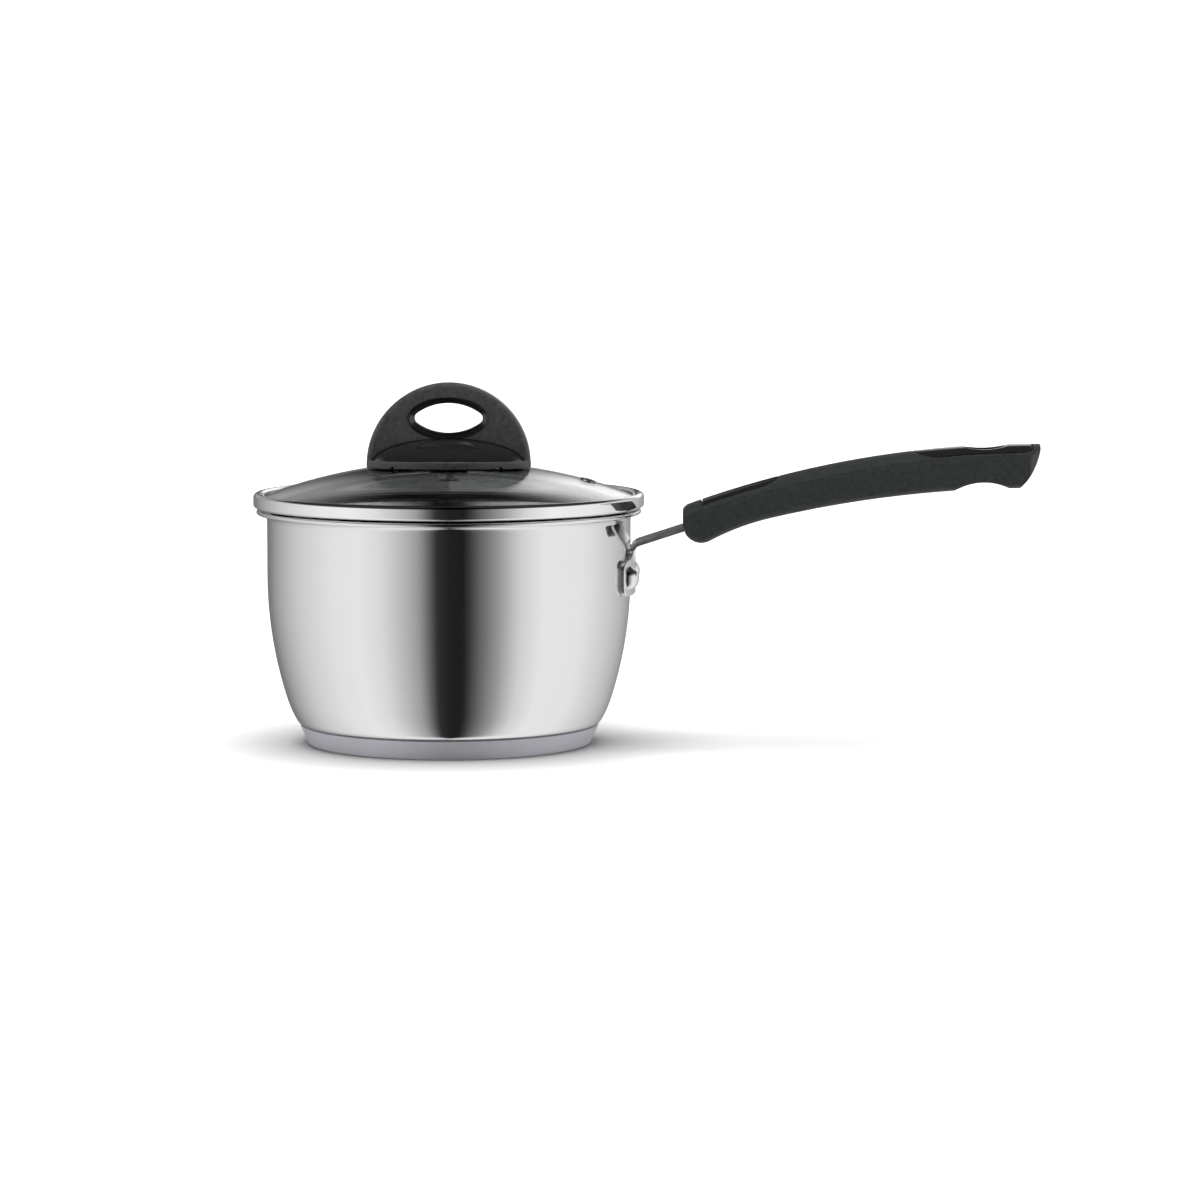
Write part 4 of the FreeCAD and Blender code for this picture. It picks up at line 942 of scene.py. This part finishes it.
@dataclass
class Studio:
    """Pale floor, wrap-round soft light and the camera."""

    camera_bearing: float = 3.0
    camera_distance: float = 1.850
    camera_height: float = 0.244
    lens: float = 125.0
    aim_right: float = 2.08
    aim_down: float = 5.58
    floor_size: float = 8.0
    backdrop: float = 1.12
    sky_low: float = 0.15
    sky_rise: float = 0.30
    sky_behind: float = 0.14
    lamp_power: float = 3.5
    lamp_spread: float = 50.0
    narrowing: float = 0.25
    ceiling: float = 0.04
    ceiling_from: Point = (0.30, 0.60)
    back_from: Point = (0.06, 0.14)
    panel: float = 1.10
    panel_from: Point = (0.02, 0.12)
    left_panel: float = 0.36
    left_panel_from: Point = (0.04, 0.14)
    panel_least: float = 0.02
    back_facing: Point = (0.80, 0.92)
    bounce_from: Point = (0.4, 0.6)
    bounce_dimming: float = 0.85
    sky_least: float = 0.02
    lamp_height: float = 1.5
    sensor_width: float = 36.0
    clip_start: float = 0.05
    # brightness of the soft wall all round, by bearing from the camera's side, right-hand positive
    wall: tuple[Point, ...] = (
        (-180, 0.16), (-156, 0.24), (-132, 0.50), (-110, 0.74), (-80, 0.96), (-60, 1.0), (-44, 0.88),
        (-30, 0.62), (-20, 0.42), (-12.5, 0.15), (-8, 0.035), (0, 0.018), (9, 0.016), (13, 0.055),
        (22, 0.20), (31, 0.38), (46, 0.80), (62, 1.0), (92, 0.98), (122, 0.74),
        (140, 0.58), (160, 0.36), (180, 0.30),
    )

    def build(self) -> None:
        """Makes floor, light and camera."""
        self._floor()
        self._surround()
        self._lamps()
        self._camera()
        bpy.context.scene.view_settings.view_transform = "Standard"
        bpy.context.scene.view_settings.look = "None"

    def _floor(self) -> None:
        """A wide pale floor under the rest face."""
        shape = bmesh.new()
        bmesh.ops.create_grid(shape, x_segments=1, y_segments=1, size=self.floor_size / 2)
        mesh = bpy.data.meshes.new("floor")
        shape.to_mesh(mesh)
        shape.free()
        floor = bpy.data.objects.new("floor", mesh)
        floor.location.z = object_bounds()[0].z
        bpy.context.scene.collection.objects.link(floor)
        material = bpy.data.materials.new("pale floor")
        material.use_nodes = True
        shader = material.node_tree.nodes["Principled BSDF"]
        shader.inputs["Base Color"].default_value = (0.93, 0.93, 0.93, 1.0)
        shader.inputs["Roughness"].default_value = 0.9
        shader.inputs["Specular IOR Level"].default_value = 0.0
        mesh.materials.append(material)
        floor.visible_glossy = False
        floor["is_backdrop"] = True

    def _surround(self) -> None:
        """The soft wall of light, seen in reflections, with a plain white backdrop for the camera."""
        world = bpy.data.worlds.new("soft surround")
        world.use_nodes = True
        bpy.context.scene.world = world
        tree = world.node_tree
        tree.nodes.clear()
        place = tree.nodes.new("ShaderNodeTexCoord")
        turned = tree.nodes.new("ShaderNodeMapping")
        turned.inputs["Rotation"].default_value = (0, 0, math.radians(-self.camera_bearing))
        tree.links.new(place.outputs["Generated"], turned.inputs["Vector"])
        parts = tree.nodes.new("ShaderNodeSeparateXYZ")
        tree.links.new(turned.outputs["Vector"], parts.inputs[0])
        across, away, up = parts.outputs
        path = tree.nodes.new("ShaderNodeLightPath")
        level = self._wall_level(tree, across, away, up)
        bounced = self._step(tree, path.outputs["Diffuse Depth"], *self.bounce_from)
        after_floor = self._math(tree, "MULTIPLY", bounced, -self.bounce_dimming)
        level = self._math(tree, "MULTIPLY", level, self._math(tree, "ADD", after_floor, 1.0))
        wall = tree.nodes.new("ShaderNodeBackground")
        tree.links.new(level, wall.inputs["Strength"])
        plain = tree.nodes.new("ShaderNodeBackground")
        height = self._math(tree, "MAXIMUM", up, 0.0)
        sky = self._math(tree, "MULTIPLY_ADD", height, self.sky_rise, self.sky_low)
        sky = self._math(tree, "MULTIPLY_ADD", away, self.sky_behind, sky)
        sky = self._math(tree, "MAXIMUM", sky, self.sky_least)
        seen = self._math(tree, "MULTIPLY", path.outputs["Is Camera Ray"], self.backdrop)
        sky = self._math(tree, "MULTIPLY", sky, path.outputs["Is Diffuse Ray"])
        tree.links.new(self._math(tree, "MAXIMUM", seen, sky), plain.inputs["Strength"])
        either = self._math(tree, "MAXIMUM", path.outputs["Is Camera Ray"], path.outputs["Is Diffuse Ray"])
        for background in (wall, plain):
            background.inputs["Color"].default_value = self._grey(1.0)
        mix = tree.nodes.new("ShaderNodeMixShader")
        tree.links.new(either, mix.inputs["Fac"])
        tree.links.new(wall.outputs[0], mix.inputs[1])
        tree.links.new(plain.outputs[0], mix.inputs[2])
        out = tree.nodes.new("ShaderNodeOutputWorld")
        tree.links.new(mix.outputs[0], out.inputs["Surface"])

    def _math(self, tree: bpy.types.NodeTree, operation: str, *values: object) -> bpy.types.NodeSocket:
        """Adds a math node.

        Args:
            tree: The tree it goes into.
            operation: The math node's operation.
            values: Numbers or sockets for its inputs.

        Returns:
            Its output socket.
        """
        node = tree.nodes.new("ShaderNodeMath")
        node.operation = operation
        for index, value in enumerate(values):
            if isinstance(value, (int, float)):
                node.inputs[index].default_value = value
            else:
                tree.links.new(value, node.inputs[index])
        return node.outputs[0]

    def _step(self, tree: bpy.types.NodeTree, value: bpy.types.NodeSocket, start: float,
              end: float) -> bpy.types.NodeSocket:
        """A soft step from nought to one.

        Args:
            tree: The tree it goes into.
            value: The socket that is compared.
            start: Value where the step starts.
            end: Value where it ends.

        Returns:
            The step's socket.
        """
        node = tree.nodes.new("ShaderNodeMapRange")
        node.interpolation_type = "SMOOTHSTEP"
        node.inputs["From Min"].default_value = start
        node.inputs["From Max"].default_value = end
        tree.links.new(value, node.inputs["Value"])
        return node.outputs["Result"]

    def _wall_level(self, tree: bpy.types.NodeTree, across: bpy.types.NodeSocket, away: bpy.types.NodeSocket,
                    up: bpy.types.NodeSocket) -> bpy.types.NodeSocket:
        """Brightness of the surround in one direction, as reflections see it.

        Args:
            tree: The world's tree.
            across: The direction's part to the camera's right.
            away: Its part away from the camera.
            up: Its height.

        Returns:
            The brightness.
        """
        toward = self._math(tree, "MULTIPLY", away, -1.0)
        bearing = self._math(tree, "ARCTAN2", across, toward)
        steep = self._math(tree, "MULTIPLY_ADD", self._math(tree, "MULTIPLY", up, up), -self.narrowing, 1.0)
        share = tree.nodes.new("ShaderNodeMapRange")
        share.inputs["From Min"].default_value = -math.pi
        share.inputs["From Max"].default_value = math.pi
        tree.links.new(self._math(tree, "MULTIPLY", bearing, steep), share.inputs["Value"])
        ramp = tree.nodes.new("ShaderNodeValToRGB")
        stops = ramp.color_ramp.elements
        stops.remove(stops[-1])
        stops[0].position = 0.0
        stops[0].color = self._grey(self.wall[0][1])
        for degrees, level in self.wall[1:]:
            stops.new((degrees + 180) / 360).color = self._grey(level)
        tree.links.new(share.outputs["Result"], ramp.inputs["Fac"])
        steepness = self._step(tree, up, *self.ceiling_from)
        overhead = self._math(tree, "MULTIPLY_ADD", steepness, self.ceiling - 1.0, 1.0)
        level = self._math(tree, "MULTIPLY", ramp.outputs["Color"], overhead)
        above = self._step(tree, up, *self.back_from)
        behind = self._step(tree, away, *self.back_facing)
        raised = self._math(tree, "MULTIPLY", above, behind)
        right = self._step(tree, across, *self.panel_from)
        right = self._math(tree, "MULTIPLY_ADD", right, self.panel, self.panel_least)
        left = self._step(tree, self._math(tree, "MULTIPLY", across, -1.0), *self.left_panel_from)
        panel = self._math(tree, "MULTIPLY_ADD", left, self.left_panel, right)
        keep = self._math(tree, "SUBTRACT", 1.0, raised)
        return self._math(tree, "MULTIPLY_ADD", panel, raised, self._math(tree, "MULTIPLY", level, keep))

    def _grey(self, level: float) -> tuple[float, float, float, float]:
        """A neutral grey of one level."""
        return level, level, level, 1.0

    def _lamps(self) -> None:
        """One broad even light from straight above, for the crowned tops and the tight soft shadow."""
        data = bpy.data.lights.new("overhead", "SUN")
        data.angle = math.radians(self.lamp_spread)
        data.energy = self.lamp_power
        lamp = bpy.data.objects.new("overhead", data)
        lamp.location = (0.0, 0.0, self.lamp_height)
        lamp.visible_glossy = False
        lamp.visible_transmission = False
        bpy.context.scene.collection.objects.link(lamp)

    def _camera(self) -> None:
        """The camera, low in front and a touch to the handle's side."""
        data = bpy.data.cameras.new("camera")
        data.lens = self.lens
        data.sensor_width = self.sensor_width
        data.clip_start = self.clip_start
        camera = bpy.data.objects.new("camera", data)
        bearing = math.radians(self.camera_bearing)
        reach = self.camera_distance
        camera.location = (reach * math.sin(bearing), -reach * math.cos(bearing), self.camera_height)
        heading = bearing - math.radians(self.aim_right)
        down = math.radians(self.aim_down)
        level = math.cos(down)
        aim = Vector((-math.sin(heading) * level, math.cos(heading) * level, -math.sin(down)))
        camera.rotation_mode = "QUATERNION"
        camera.rotation_quaternion = aim.to_track_quat("-Z", "Y")
        bpy.context.scene.collection.objects.link(camera)
        bpy.context.scene.camera = camera


def main() -> None:
    """Builds the saucepan's pieces, its finishes and the studio, in that order."""
    logging.basicConfig(level=logging.INFO, format="%(name)s: %(message)s")
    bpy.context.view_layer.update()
    shop = Workshop()
    palette = Palette()
    for assembly in (PotAssembly(), HandleAssembly(), LidAssembly(), KnobAssembly()):
        assembly.build(shop, palette)
    Studio().build()
    bpy.context.view_layer.update()
    LOG.info("%d pieces made", len(shop.made))


if __name__ == "__main__":
    main()
